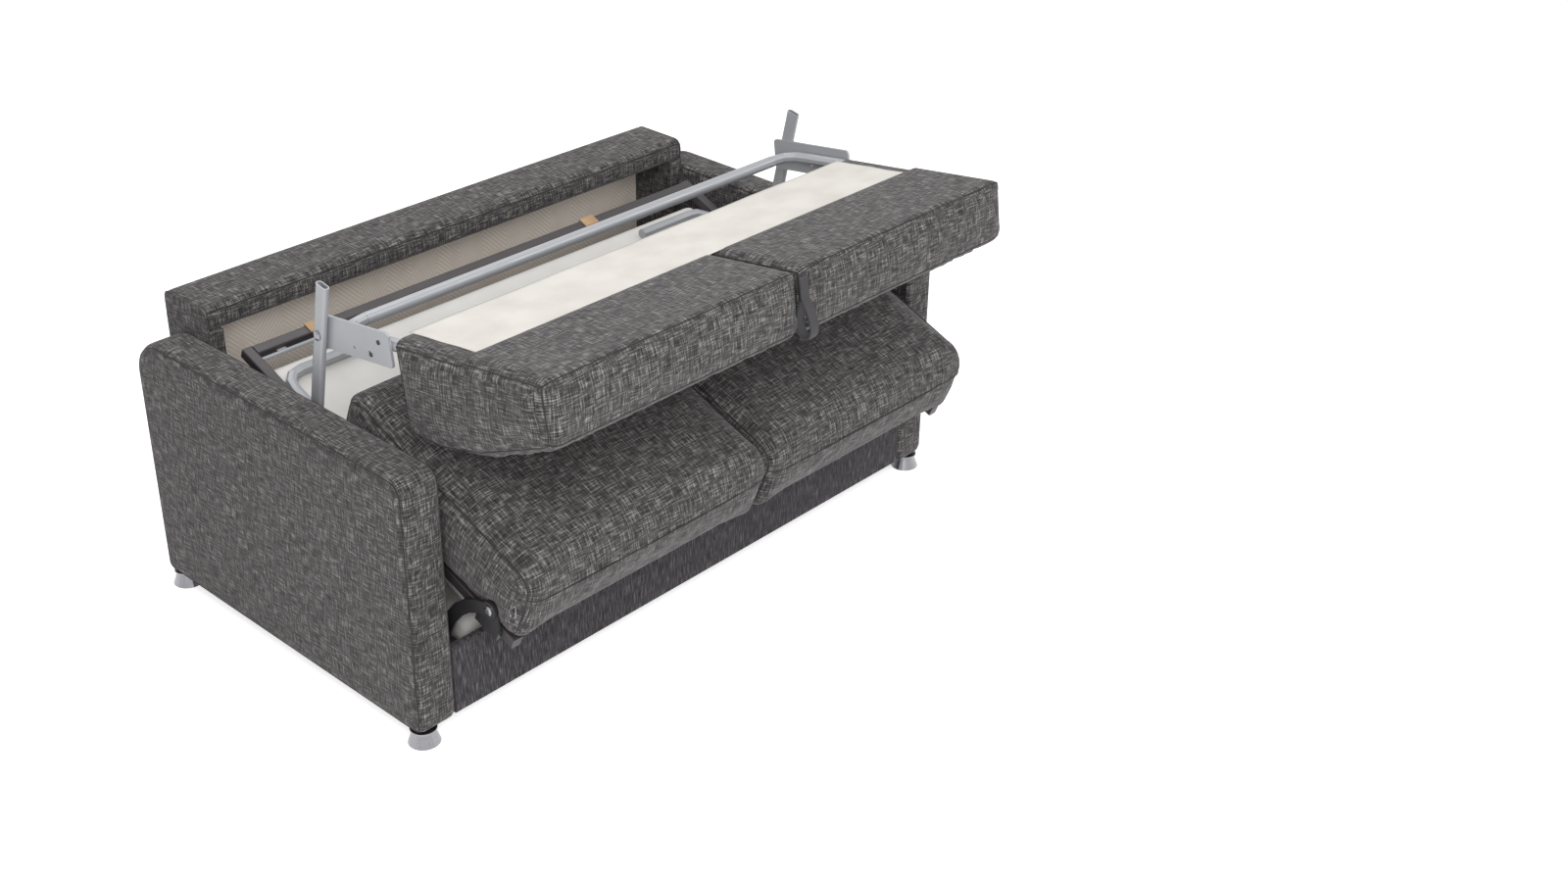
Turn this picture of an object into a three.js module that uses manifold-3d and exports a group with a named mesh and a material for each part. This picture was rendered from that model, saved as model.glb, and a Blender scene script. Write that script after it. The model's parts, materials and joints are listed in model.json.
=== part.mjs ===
// Sleeper sofa with a pull-out bed, caught half way through opening.
// The seat and the back flip forward about two pivots at the seat's front edge,
// and a mattress section rides on the seat's underside. A second mattress section
// lies in the box between the arms and is lifted by parallel links.
// Lengths are in millimetres. X runs to the right, Y to the back and Z up.
// The origin is on the floor, midway between the arms and midway along them.

import * as THREE from 'three';
import { mergeVertices } from 'three/addons/utils/BufferGeometryUtils.js';
import Module from 'manifold-3d';

const wasm = await Module();
wasm.setup();

const degree = Math.PI / 180;
const gap = 0.3;
const mergeDistance = 0.0003;
const overrun = 20;

// Arms and feet
const insideWidth = 1444;
const armThickness = 98;
const armDepth = 920;
const armTop = 640;
const footHeight = 37;
const armFrontRadius = 34;
const armRearRadius = 92;
const armBottomRadius = 12;
const armEdgeRound = 20;
const footRadius = 35;
const footWaistRadius = 24;
const footPlateRadius = 29;
const footPlateThickness = 4;
const footEdge = 1;
const footSideInset = 30;
const footEndInset = 30;

// Fixed back frame, front panel and base rails
const backFront = 313;
const backRear = 474;
const backTop = 712;
const backRailHeight = 56;
const backRailRound = 16;
const rearPanelThickness = 24;
const linerThickness = 4;
const linerInset = 38;
const baseBottom = 45;
const panelTop = 212;
const panelFront = -456;
const panelThickness = 19;
const panelEdgeRound = 6;
const railHeight = 38;
const railInside = 680.5;
const crossRailWidth = 30;
const earHeight = 20;
const earThickness = 5;
const tubeWallRound = 4;

// The pivot that the seat flips about, and the seat's place at rest
const flipPivotY = -560;
const flipPivotZ = 345;
const seatTilt = 22 * degree;
const plateThickness = 6;
const plateClearance = 2;
const unitHalfWidth = 690;
const seatRailSize = 25;
const seatPlaneDrop = 41;
const seatRailFront = -66;
const seatRailRear = 857;
const seatFrontCross = 26;
const seatMiddleCross = 505;
const slatDepth = 95;
const slatThickness = 12;
const slatCount = 2;
const rodRadius = 5;
const rodFromRear = 36;
const rodTabOffset = 600;
const rodTabWidth = 22;
const rodTabThickness = 4;
const braceRadius = 13;
const braceBend = 48;
const braceRear = 758;
const braceInnerEnd = 430;
const braceSteps = 18;
const strapWidth = 42;
const strapLeft = -500;
const strapRight = 322;
const strapThickness = 3;
const pinRadius = 6;
const pinFit = 0.6;
const pinHeadRadius = 11;
const pinHeadHeight = 4;

// Gooseneck arms that carry the flip pivot
const neckWidth = 30;
const neckFootY = -388;
const neckEyeRadius = 19;
const neckBulge = 30;
const seatPlateFoot = 34;

// Seat cushions and the mattress sections
const seatCushionFront = -80;
const seatCushionRear = 522;
const seatCushionTop = 146;
const seatCushionRound = 42;
const seatCrown = 12;
const endSpreadShare = 1.6;
const drawShare = 3;
const cushionGap = 3;
const mattressThickness = 66;
const mattressHalfWidth = 656;
const mattressRound = 18;
const flipMattressFront = 10;
const flipMattressRear = 806;

// Legs that carry the back, on a crank under the seat's side rail
const raisePivotP = 438;
const raisePivotQ = -30;
const raiseEyeRadius = 12;
const legRootP = 568;
const legRootQ = -53.5;
const legTipP = 636;
const legTipQ = 340;
const legWidth = 34;
const legThickness = 15;
const legWall = 2.5;
const crankRadius = 20;

// The back unit turns on the legs; its own axes start at its cross tube
const backTubeP = 590;
const backTubeQ = 249.6;
const backSlope = 30 * degree;
const backTubeRadius = 13.5;
const backTubeStraight = 612;
const backArmLength = 600;
const tiltPivotAlong = -36;
const tiltPivotOut = -11;
const backPlateEnd = 185;
const backPlateStart = -56;
const backPlateTop = 31;
const backPlateBottom = -43;
const backPlateRound = 9;
const boltHoleRadius = 3.2;
const boltHoleShares = [0.35, 0.62];
const backBottom = 190;
const backLength = 636;
const backFaceOut = 17;
const backCushionTopThickness = 118;
const backCushionBottomThickness = 180;
const backCushionRound = 34;
const wedgeShare = 1.25;
const backCrown = 9;
const strapPullWidth = 26;
const strapPullThickness = 7;
const strapPullLength = 96;
const panelEdgeInset = 17;

// Head section in the box, raised by two pairs of equal links
const headFront = -414;
const headRear = 424;
const headFrameBottom = 127.5;
const headRailSize = 25;
const headOverhang = 62;
const headHalfWidth = 658;
const linkLength = 300;
const linkRestAngle = -0.74 * degree;
const linkThickness = 6;
const linkRadius = 14;
const linkPinRadius = 5;
const frontLinkPinY = -116;
const rearLinkPinY = 314;

// Finishes
const finish = (color, roughness, metalness) =>
  new THREE.MeshStandardMaterial({ color, roughness, metalness });
const charcoal = () => finish('#4b494c', 0.95, 0);
const darkCloth = () => finish('#39373a', 0.95, 0);
const taupe = () => finish('#8e8078', 0.9, 0);
const white = () => finish('#e9e8e6', 0.9, 0);
const offWhite = () => finish('#dedad4', 0.9, 0);
const brushedSteel = () => finish('#b9b9ba', 0.35, 1);
const paintedSteel = () => finish('#b4b4b7', 0.45, 0.5);
const greyPaint = () => finish('#5b565a', 0.5, 0.4);
const blackPaint = () => finish('#232224', 0.5, 0.3);
const tan = () => finish('#c49a6c', 0.7, 0);

const sofa = new THREE.Group();

// Adds one named piece to a group and returns it.
function piece(parent, name, geometry, material) {
  const mesh = new THREE.Mesh(geometry, material);
  mesh.name = name;
  parent.add(mesh);
  return mesh;
}

// Keeps only positions and joins equal corners, so that the surface is closed.
function sealed(geometry) {
  geometry.deleteAttribute('normal');
  geometry.deleteAttribute('uv');
  return mergeVertices(geometry, mergeDistance);
}

// A closed mesh as a solid that can be cut and joined.
function solid(geometry) {
  const closed = sealed(geometry.index ? geometry : geometry.clone());
  const mesh = new wasm.Mesh({
    numProp: 3,
    vertProperties: new Float32Array(closed.attributes.position.array),
    triVerts: new Uint32Array(closed.index.array),
  });
  return new wasm.Manifold(mesh);
}

// A solid back as geometry.
function geometryOf(body) {
  const mesh = body.getMesh();
  const geometry = new THREE.BufferGeometry();
  geometry.setAttribute('position', new THREE.BufferAttribute(mesh.vertProperties, 3));
  geometry.setIndex(new THREE.BufferAttribute(mesh.triVerts, 1));
  return geometry;
}

// A rectangle with rounded corners, from its four edges. Radii run front low,
// rear low, rear high, front high.
function roundedOutline(front, bottom, rear, top, radii) {
  const [frontLow, rearLow, rearHigh, frontHigh] = radii;
  const outline = new THREE.Shape();
  outline.moveTo(front + frontLow, bottom);
  outline.lineTo(rear - rearLow, bottom);
  outline.absarc(rear - rearLow, bottom + rearLow, rearLow, -Math.PI / 2, 0);
  outline.lineTo(rear, top - rearHigh);
  outline.absarc(rear - rearHigh, top - rearHigh, rearHigh, 0, Math.PI / 2);
  outline.lineTo(front + frontHigh, top);
  outline.absarc(front + frontHigh, top - frontHigh, frontHigh, Math.PI / 2, Math.PI);
  outline.lineTo(front, bottom + frontLow);
  outline.absarc(front + frontLow, bottom + frontLow, frontLow, Math.PI, 1.5 * Math.PI);
  return outline;
}

// Extrudes an outline drawn in Y and Z along X, between two X values.
function acrossX(outline, fromX, toX, edgeRound = 0, curveSegments = 6) {
  const geometry = new THREE.ExtrudeGeometry(outline, {
    depth: toX - fromX - 2 * edgeRound,
    bevelEnabled: edgeRound > 0,
    bevelThickness: edgeRound,
    bevelSize: edgeRound,
    bevelOffset: -edgeRound,
    bevelSegments: 3,
    curveSegments,
  });
  geometry.translate(0, 0, fromX + edgeRound);
  const turn = new THREE.Matrix4().makeBasis(
    new THREE.Vector3(0, 1, 0), new THREE.Vector3(0, 0, 1), new THREE.Vector3(1, 0, 0));
  return geometry.applyMatrix4(turn);
}

// The same plate on the left and on the right, given by its distance from the middle.
function mirroredSpan(side, inner, outer) {
  return side < 0 ? [-outer, -inner] : [inner, outer];
}

// A round bar along X.
function barAlongX(fromX, toX, y, z, radius, sides = 16) {
  const geometry = new THREE.CylinderGeometry(radius, radius, toX - fromX, sides);
  geometry.rotateZ(Math.PI / 2);
  return geometry.translate((fromX + toX) / 2, y, z);
}

// A bar of square section with softened edges, along X or along Y.
function squareTubeX(fromX, toX, y, z, size) {
  const half = size / 2;
  const round = Array(4).fill(tubeWallRound);
  return acrossX(roundedOutline(y - half, z - half, y + half, z + half, round), fromX, toX, 0, 2);
}

function squareTubeY(fromY, toY, x, z, size) {
  const bar = squareTubeX(fromY, toY, 0, 0, size);
  bar.rotateZ(Math.PI / 2);
  return bar.translate(x, 0, z);
}

// A flat link with round ends between two points in Y and Z, with a hole at each.
function linkOutline(from, to, radius, holes) {
  const angle = Math.atan2(to[1] - from[1], to[0] - from[0]);
  const outline = new THREE.Shape();
  outline.absarc(to[0], to[1], radius, angle - Math.PI / 2, angle + Math.PI / 2);
  outline.absarc(from[0], from[1], radius, angle + Math.PI / 2, angle + 1.5 * Math.PI);
  outline.closePath();
  for (const [centre, holeRadius] of holes) {
    const hole = new THREE.Path();
    hole.absarc(centre[0], centre[1], holeRadius, 0, 2 * Math.PI, true);
    outline.holes.push(hole);
  }
  return outline;
}

// A headed pin along X. The head is on the side that faces away from the middle.
function pinGeometry(side, inner, outer, y, z, radius = pinRadius) {
  const headOut = outer + pinHeadHeight;
  const profile = [
    [0, inner], [radius, inner], [radius, outer], [pinHeadRadius, outer],
    [pinHeadRadius, headOut - pinHeadHeight / 2], [radius, headOut], [0, headOut],
  ].map(([r, h]) => new THREE.Vector2(r, h));
  const pin = new THREE.LatheGeometry(profile, 12);
  pin.rotateZ(side < 0 ? Math.PI / 2 : -Math.PI / 2);
  return pin.translate(0, y, z);
}

// Spreads grid lines towards both ends, where the edges are rounded.
function towardsEnds(t) {
  const fromMiddle = 2 * t - 1;
  return 0.5 + 0.5 * Math.sign(fromMiddle) * (1 - (1 - Math.abs(fromMiddle)) ** endSpreadShare);
}

// A stuffed block: a grid box whose edges are rounded, whose faces are crowned
// and whose sides draw in between the corners. size holds its three lengths,
// crown the rise of the top and bottom, and draw how far the sides pull in.
function stuffedBlock(size, round, crown, draw, steps) {
  const box = sealed(new THREE.BoxGeometry(1, 1, 1, ...steps));
  const place = box.attributes.position;
  const half = size.map((length) => length / 2);
  for (let index = 0; index < place.count; index += 1) {
    const unit = [place.getX(index), place.getY(index), place.getZ(index)];
    const point = unit.map((value, axis) => (towardsEnds(value + 0.5) - 0.5) * size[axis]);
    const inner = point.map((value, axis) =>
      THREE.MathUtils.clamp(value, round - half[axis], half[axis] - round));
    const out = new THREE.Vector3(...point.map((value, axis) => value - inner[axis]));
    if (out.lengthSq() > 0) out.setLength(round);
    const moved = inner.map((value, axis) => value + out.getComponent(axis));
    const [u, v] = [moved[0] / half[0], moved[1] / half[1]];
    const w = moved[2] / half[2];
    const dome = (1 - u * u) * (1 - v * v);
    moved[0] -= draw * Math.sign(u) * Math.abs(u) ** drawShare * (1 - v * v);
    moved[1] -= draw * Math.sign(v) * Math.abs(v) ** drawShare * (1 - u * u);
    moved[2] += w * (w > 0 ? crown[1] : crown[0]) * dome;
    place.setXYZ(index, ...moved);
  }
  return box;
}

// Arms, feet and the fixed frame of the sofa
const halfInside = insideWidth / 2;
const halfDepth = armDepth / 2;
const armOutside = halfInside + armThickness;

function addArm(side, name) {
  const outline = roundedOutline(-halfDepth, footHeight, halfDepth, armTop,
    [armBottomRadius, armBottomRadius, armRearRadius, armFrontRadius]
      .map((radius) => Math.max(radius, armEdgeRound + gap)));
  const [fromX, toX] = mirroredSpan(side, halfInside, armOutside);
  piece(sofa, name, acrossX(outline, fromX, toX, armEdgeRound, 5), charcoal());
}

function addFoot(side, end, name) {
  const top = footHeight - gap;
  const plateBottom = top - footPlateThickness;
  const waist = plateBottom - footPlateThickness;
  const profile = [
    [0, 0], [footRadius - footEdge, 0], [footRadius, footEdge], [footWaistRadius, waist],
    [footPlateRadius, plateBottom], [footPlateRadius, top], [0, top],
  ].map(([r, z]) => new THREE.Vector2(r, z));
  const foot = new THREE.LatheGeometry(profile, 24);
  foot.rotateX(Math.PI / 2);
  foot.translate(side * (armOutside - footSideInset), end * (halfDepth - footEndInset), 0);
  piece(sofa, name, foot, brushedSteel());
}

addArm(-1, 'arm_left');
addArm(1, 'arm_right');
addFoot(-1, -1, 'foot_front_left');
addFoot(1, -1, 'foot_front_right');
addFoot(-1, 1, 'foot_rear_left');
addFoot(1, 1, 'foot_rear_right');

const frameHalf = halfInside - gap;

function addBackFrame() {
  const railBottom = backTop - backRailHeight;
  const railOutline = roundedOutline(backFront, railBottom, backRear, backTop,
    Array(4).fill(backRailRound));
  piece(sofa, 'back_top_rail', acrossX(railOutline, -frameHalf, frameHalf), charcoal());

  const panelFrontY = backRear - rearPanelThickness;
  const square = Array(4).fill(tubeWallRound);
  const panelOutline = roundedOutline(panelFrontY, baseBottom, backRear, railBottom - gap, square);
  let panel = solid(acrossX(panelOutline, -frameHalf, frameHalf, 0, 2));
  const postOutline = roundedOutline(backFront, baseBottom + railHeight + gap,
    panelFrontY + rearPanelThickness / 2, railBottom - gap, square);
  for (const side of [-1, 1]) {
    const [fromX, toX] = mirroredSpan(side, frameHalf - linerInset, frameHalf);
    panel = panel.add(solid(acrossX(postOutline, fromX, toX, 0, 2)));
  }
  piece(sofa, 'back_rear_panel', geometryOf(panel), darkCloth());

  const linerHalf = frameHalf - linerInset - gap;
  const linerOutline = roundedOutline(panelFrontY - linerThickness - gap, baseBottom + overrun,
    panelFrontY - gap, railBottom - overrun, Array(4).fill(linerThickness / 4));
  piece(sofa, 'back_liner', acrossX(linerOutline, -linerHalf, linerHalf, 0, 1), taupe());
}

function addFrontPanel() {
  const outline = roundedOutline(panelFront, baseBottom, panelFront + panelThickness, panelTop,
    Array(4).fill(panelEdgeRound));
  piece(sofa, 'front_panel', acrossX(outline, -frameHalf, frameHalf, 0, 3), darkCloth());
}

addBackFrame();
addFrontPanel();

// Base side rails, each with two ears that hold the lifting links' lower pins
const railTop = baseBottom + railHeight;
const railFrontY = panelFront + panelThickness + gap;
const railRearY = backRear - rearPanelThickness - linerThickness - 2 * gap;
const headPinZ = headFrameBottom + headRailSize / 2;
const linkReachY = linkLength * Math.cos(linkRestAngle);
const linkRise = linkLength * Math.sin(linkRestAngle);
const linkPivots = {
  front: [frontLinkPinY - linkReachY, headPinZ - linkRise],
  rear: [rearLinkPinY - linkReachY, headPinZ - linkRise],
};

function addSideRail(side, name) {
  const square = Array(4).fill(tubeWallRound);
  const outline = roundedOutline(railFrontY, baseBottom, railRearY, railTop, square);
  const [fromX, toX] = mirroredSpan(side, railInside, frameHalf);
  let rail = solid(acrossX(outline, fromX, toX, 0, 2));
  for (const [pivotY, pivotZ] of Object.values(linkPivots)) {
    const ear = linkOutline([pivotY, railTop - earHeight / 2], [pivotY, pivotZ], earHeight,
      [[[pivotY, pivotZ], linkPinRadius + pinFit]]);
    const [earFrom, earTo] = mirroredSpan(side, railInside, railInside + earThickness);
    rail = rail.add(solid(acrossX(ear, earFrom, earTo, 0, 5)));
  }
  piece(sofa, name, geometryOf(rail), blackPaint());
}

function addCrossRail(name, y) {
  const square = Array(4).fill(tubeWallRound);
  const half = railInside - gap;
  const outline = roundedOutline(y, baseBottom, y + crossRailWidth, railTop, square);
  piece(sofa, name, acrossX(outline, -half, half, 0, 2), blackPaint());
}

addSideRail(-1, 'side_rail_left');
addSideRail(1, 'side_rail_right');
addCrossRail('front_cross_rail', railFrontY);
addCrossRail('rear_cross_rail', railRearY - crossRailWidth);

// The seat frame leaves room at its sides for the back unit's end plates
const seatRailOutside = unitHalfWidth - plateThickness - gap;

// Goosenecks rise from the side rails, bow forward and end in the flip pivot's eye
const seatPlateInner = unitHalfWidth + gap;
const seatPlateOuter = seatPlateInner + plateThickness;
const neckInner = seatPlateOuter + plateClearance;
const neckOuter = neckInner + plateThickness;

function neckOutline() {
  const start = new THREE.Vector2(neckFootY, railTop + gap);
  const end = new THREE.Vector2(flipPivotY, flipPivotZ);
  const bend = new THREE.Vector2(neckFootY - neckBulge / 2, flipPivotZ - neckBulge / 2);
  const path = new THREE.QuadraticBezierCurve(start, bend, end);
  const steps = 8;
  const sides = { left: [], right: [] };
  for (let step = 0; step <= steps; step += 1) {
    const at = path.getPoint(step / steps);
    const along = path.getTangent(step / steps);
    const reach = neckWidth / 2;
    sides.left.push(new THREE.Vector2(at.x - along.y * reach, at.y + along.x * reach));
    sides.right.push(new THREE.Vector2(at.x + along.y * reach, at.y - along.x * reach));
  }
  sides.left[0].y = start.y;
  sides.right[0].y = start.y;
  return new THREE.Shape([...sides.right, ...sides.left.reverse()]);
}

function addGooseneck(side, name, pinName) {
  const [fromX, toX] = mirroredSpan(side, neckInner, neckOuter);
  const pivot = [flipPivotY, flipPivotZ];
  const band = solid(acrossX(neckOutline(), fromX, toX));
  const eye = solid(acrossX(linkOutline(pivot, [pivot[0], pivot[1] - gap], neckEyeRadius, []),
    fromX, toX, 0, 9));
  const bore = solid(barAlongX(-armOutside, armOutside, ...pivot, pinRadius + pinFit));
  piece(sofa, name, geometryOf(band.add(eye).subtract(bore)), blackPaint());
  const pin = pinGeometry(side, seatPlateInner, neckOuter + gap, ...pivot);
  piece(sofa, pinName, pin, brushedSteel());
}

addGooseneck(-1, 'gooseneck_left', 'flip_pin_left');
addGooseneck(1, 'gooseneck_right', 'flip_pin_right');

// The seat unit has its own axes: along its plane to the rear, and square to it.
// Both start at the flip pivot.
const seatUnit = new THREE.Group();
seatUnit.position.set(0, flipPivotY, flipPivotZ);
seatUnit.rotation.x = seatTilt;
sofa.add(seatUnit);

const seatRailMiddle = -seatPlaneDrop - seatRailSize / 2;
const seatRailInside = seatRailOutside - seatRailSize;
const crossHalf = seatRailInside - gap;
const braceSide = seatRailInside - braceRadius - gap;
const braceFront = seatMiddleCross + seatRailSize / 2 + gap;

function addSeatFrame() {
  for (const [side, name] of [[-1, 'seat_rail_left'], [1, 'seat_rail_right']]) {
    const x = side * (seatRailOutside - seatRailSize / 2);
    const tube = solid(squareTubeY(seatRailFront, seatRailRear, x, seatRailMiddle, seatRailSize));
    const pivot = [raisePivotP, raisePivotQ];
    const eye = linkOutline([raisePivotP, seatRailMiddle], pivot, raiseEyeRadius,
      [[pivot, pinRadius + pinFit]]);
    const eyeSpan = mirroredSpan(side, seatRailOutside - gap, unitHalfWidth);
    const rail = tube.add(solid(acrossX(eye, ...eyeSpan, 0, 5)));
    piece(seatUnit, name, geometryOf(rail), greyPaint());
  }
  const crosses = [
    ['seat_cross_front', seatFrontCross],
    ['seat_cross_middle', seatMiddleCross],
    ['seat_cross_rear', seatRailRear - seatRailSize / 2],
  ];
  for (const [name, along] of crosses) {
    const tube = squareTubeX(-crossHalf, crossHalf, along, seatRailMiddle, seatRailSize);
    piece(seatUnit, name, tube, greyPaint());
  }
}

function addSlats() {
  const first = seatFrontCross + seatRailSize / 2;
  const pitch = (seatMiddleCross - seatRailSize / 2 - first) / (slatCount + 1);
  for (let index = 1; index <= slatCount; index += 1) {
    const middle = first + index * pitch;
    const outline = roundedOutline(middle - slatDepth / 2, -seatPlaneDrop - slatThickness,
      middle + slatDepth / 2, -seatPlaneDrop, Array(4).fill(slatThickness / 3));
    piece(seatUnit, `seat_slat_${index}`, acrossX(outline, -crossHalf, crossHalf, 0, 2), tan());
  }
}

// The thin rod that keeps the mattress off the rear tube, with its two tabs
function addRetainingRod() {
  const along = seatRailRear - rodFromRear;
  const tubeFront = seatRailRear - seatRailSize - gap;
  let rod = solid(barAlongX(-crossHalf, crossHalf, along, seatRailMiddle, rodRadius, 10));
  for (const side of [-1, 1]) {
    const x = side * rodTabOffset;
    const half = rodTabThickness / 2;
    const outline = roundedOutline(along, seatRailMiddle - half, tubeFront, seatRailMiddle + half,
      Array(4).fill(half / 2));
    rod = rod.add(solid(acrossX(outline, x - rodTabWidth / 2, x + rodTabWidth / 2, 0, 2)));
  }
  piece(seatUnit, 'retaining_rod', geometryOf(rod), paintedSteel());
}

// Bent tubes that brace the rear corners of the seat frame
function braceGeometry(side) {
  const path = new THREE.CurvePath();
  const lift = seatRailMiddle;
  const at = (x, y) => new THREE.Vector3(side * x, y, lift);
  const bendStart = at(braceSide, braceRear - braceBend);
  const bendEnd = at(braceSide - braceBend, braceRear);
  path.add(new THREE.LineCurve3(at(braceSide, braceFront), bendStart));
  path.add(new THREE.QuadraticBezierCurve3(bendStart, at(braceSide, braceRear), bendEnd));
  path.add(new THREE.LineCurve3(bendEnd, at(braceInnerEnd, braceRear)));
  const section = new THREE.Shape();
  section.absarc(0, 0, braceRadius, 0, 2 * Math.PI);
  return new THREE.ExtrudeGeometry(section, { steps: braceSteps, extrudePath: path, curveSegments: 4 });
}

// Side plates that hang the seat frame on the flip pins
function seatPlateOutline() {
  const low = seatRailMiddle - seatRailSize / 2;
  const outline = new THREE.Shape();
  const eye = neckEyeRadius;
  outline.moveTo(-seatPlateFoot, low);
  outline.lineTo(seatPlateFoot, low);
  outline.lineTo(seatPlateFoot, low + seatRailSize);
  outline.absarc(0, 0, eye, 0, Math.PI);
  outline.lineTo(-seatPlateFoot, low + seatRailSize);
  outline.closePath();
  const bore = new THREE.Path();
  bore.absarc(0, 0, pinRadius + pinFit, 0, 2 * Math.PI, true);
  outline.holes.push(bore);
  return outline;
}

function addSeatHardware() {
  piece(seatUnit, 'corner_brace_left', braceGeometry(-1), paintedSteel());
  piece(seatUnit, 'corner_brace_right', braceGeometry(1), paintedSteel());
  for (const [side, name] of [[-1, 'seat_plate_left'], [1, 'seat_plate_right']]) {
    const span = mirroredSpan(side, seatPlateInner, seatPlateOuter);
    const plate = solid(acrossX(seatPlateOutline(), ...span, 0, 5));
    const spacerSpan = mirroredSpan(side, seatRailOutside + gap, seatPlateOuter);
    const spacer = solid(acrossX(roundedOutline(-seatPlateFoot, seatRailMiddle - seatRailSize / 2,
      seatPlateFoot, seatRailMiddle + seatRailSize / 2, Array(4).fill(tubeWallRound)),
    ...spacerSpan, 0, 2));
    piece(seatUnit, name, geometryOf(plate.add(spacer)), blackPaint());
  }
  const mattressTop = seatRailMiddle - seatRailSize / 2 - gap;
  for (const [x, name] of [[strapLeft, 'strap_left'], [strapRight, 'strap_right']]) {
    const top = seatRailMiddle + seatRailSize / 2 + gap;
    const outline = roundedOutline(seatRailRear - seatRailSize, top, seatRailRear + strapThickness,
      top + strapThickness, Array(4).fill(strapThickness / 3));
    const drop = roundedOutline(seatRailRear + gap, mattressTop, seatRailRear + gap + strapThickness,
      top + strapThickness, Array(4).fill(strapThickness / 3));
    const span = [x - strapWidth / 2, x + strapWidth / 2];
    const strap = solid(acrossX(outline, ...span, 0, 2)).add(solid(acrossX(drop, ...span, 0, 2)));
    piece(seatUnit, name, geometryOf(strap), tan());
  }
}

function addSeatCushion(side, name) {
  const width = unitHalfWidth - cushionGap / 2;
  const length = seatCushionRear - seatCushionFront;
  const bottom = -seatPlaneDrop + gap;
  const height = seatCushionTop - bottom;
  const cushion = stuffedBlock([width, length, height], seatCushionRound, [0, seatCrown],
    seatCrown / 2, [10, 10, 5]);
  cushion.translate(side * (unitHalfWidth + cushionGap / 2) / 2,
    (seatCushionFront + seatCushionRear) / 2, bottom + height / 2);
  piece(seatUnit, name, cushion, charcoal());
}

function mattressGeometry(front, rear, top) {
  const mattress = stuffedBlock([2 * mattressHalfWidth, rear - front, mattressThickness],
    mattressRound, [0, 0], 0, [8, 6, 4]);
  return mattress.translate(0, (front + rear) / 2, top - mattressThickness / 2);
}

addSeatFrame();
addSlats();
addRetainingRod();
addSeatHardware();
addSeatCushion(-1, 'seat_cushion_left');
addSeatCushion(1, 'seat_cushion_right');
piece(seatUnit, 'flip_mattress', mattressGeometry(flipMattressFront, flipMattressRear,
  seatRailMiddle - seatRailSize / 2 - gap), white());

// Legs: flat oval tubes with open tops, each welded to a crank on the raise pivot
const legInner = unitHalfWidth + gap;
const legOuter = legInner + legThickness;
const crankOuter = legInner + plateThickness;

function ovalTube(side) {
  const lean = Math.atan2(legTipQ - legRootQ, legTipP - legRootP);
  const length = Math.hypot(legTipP - legRootP, legTipQ - legRootQ);
  const oval = (width, thickness) => {
    const straight = (width - thickness) / 2;
    const outline = new THREE.Path();
    outline.absarc(straight, 0, thickness / 2, -Math.PI / 2, Math.PI / 2);
    outline.absarc(-straight, 0, thickness / 2, Math.PI / 2, 1.5 * Math.PI);
    outline.closePath();
    return outline;
  };
  const section = new THREE.Shape(oval(legWidth, legThickness).getPoints(5));
  section.holes.push(oval(legWidth - 2 * legWall, legThickness - 2 * legWall));
  const tube = new THREE.ExtrudeGeometry(section, { depth: length, bevelEnabled: false,
    curveSegments: 5 });
  tube.rotateZ(Math.PI / 2);
  tube.rotateX(lean - Math.PI / 2);
  return tube.translate(side * (legInner + legThickness / 2), legRootP, legRootQ);
}

function addLeg(side, name, raisePinName, tiltPinName) {
  const pivot = [raisePivotP, raisePivotQ];
  const root = [legRootP, legRootQ];
  const [fromX, toX] = mirroredSpan(side, legInner, crankOuter);
  const crankSpan = linkOutline(pivot, root, crankRadius, [[pivot, pinRadius + pinFit]]);
  const crank = solid(acrossX(crankSpan, fromX, toX, 0, 6));
  const tilt = tiltPivot();
  const bore = solid(barAlongX(-armOutside, armOutside, tilt.y, tilt.z, pinRadius + pinFit, 12));
  piece(seatUnit, name, geometryOf(solid(ovalTube(side)).add(crank).subtract(bore)), paintedSteel());
  piece(seatUnit, raisePinName, pinGeometry(side, seatRailOutside + gap, crankOuter + gap, ...pivot),
    brushedSteel());
  piece(seatUnit, tiltPinName,
    pinGeometry(side, backPlateInner, legOuter + gap, tilt.y, tilt.z, pinRadius), brushedSteel());
}

// The back unit's axes: Y back along the cushion towards the tube, Z out of its rear face
const backUnit = new THREE.Group();
backUnit.position.set(0, backTubeP, backTubeQ);
backUnit.rotation.x = -backSlope;
seatUnit.add(backUnit);
backUnit.updateMatrix();

const backPlateOuter = unitHalfWidth;
const backPlateInner = backPlateOuter - plateThickness;
const backTubeSide = backPlateInner - backTubeRadius - gap;

function tiltPivot() {
  return new THREE.Vector3(0, -tiltPivotAlong, tiltPivotOut).applyMatrix4(backUnit.matrix);
}

addLeg(-1, 'leg_left', 'raise_pin_left', 'tilt_pin_left');
addLeg(1, 'leg_right', 'raise_pin_right', 'tilt_pin_right');

// The cross tube's bent ends, which run inside the back unit as its side tubes
function sideTubeGeometry(side) {
  const bend = backTubeSide - backTubeStraight;
  const at = (x, y) => new THREE.Vector3(side * x, -y, 0);
  const path = new THREE.CurvePath();
  path.add(new THREE.QuadraticBezierCurve3(at(backTubeStraight + gap, 0), at(backTubeSide, 0),
    at(backTubeSide, bend)));
  path.add(new THREE.LineCurve3(at(backTubeSide, bend), at(backTubeSide, backArmLength)));
  const section = new THREE.Shape();
  section.absarc(0, 0, backTubeRadius, 0, 2 * Math.PI);
  return new THREE.ExtrudeGeometry(section, { steps: braceSteps, extrudePath: path, curveSegments: 5 });
}

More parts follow.
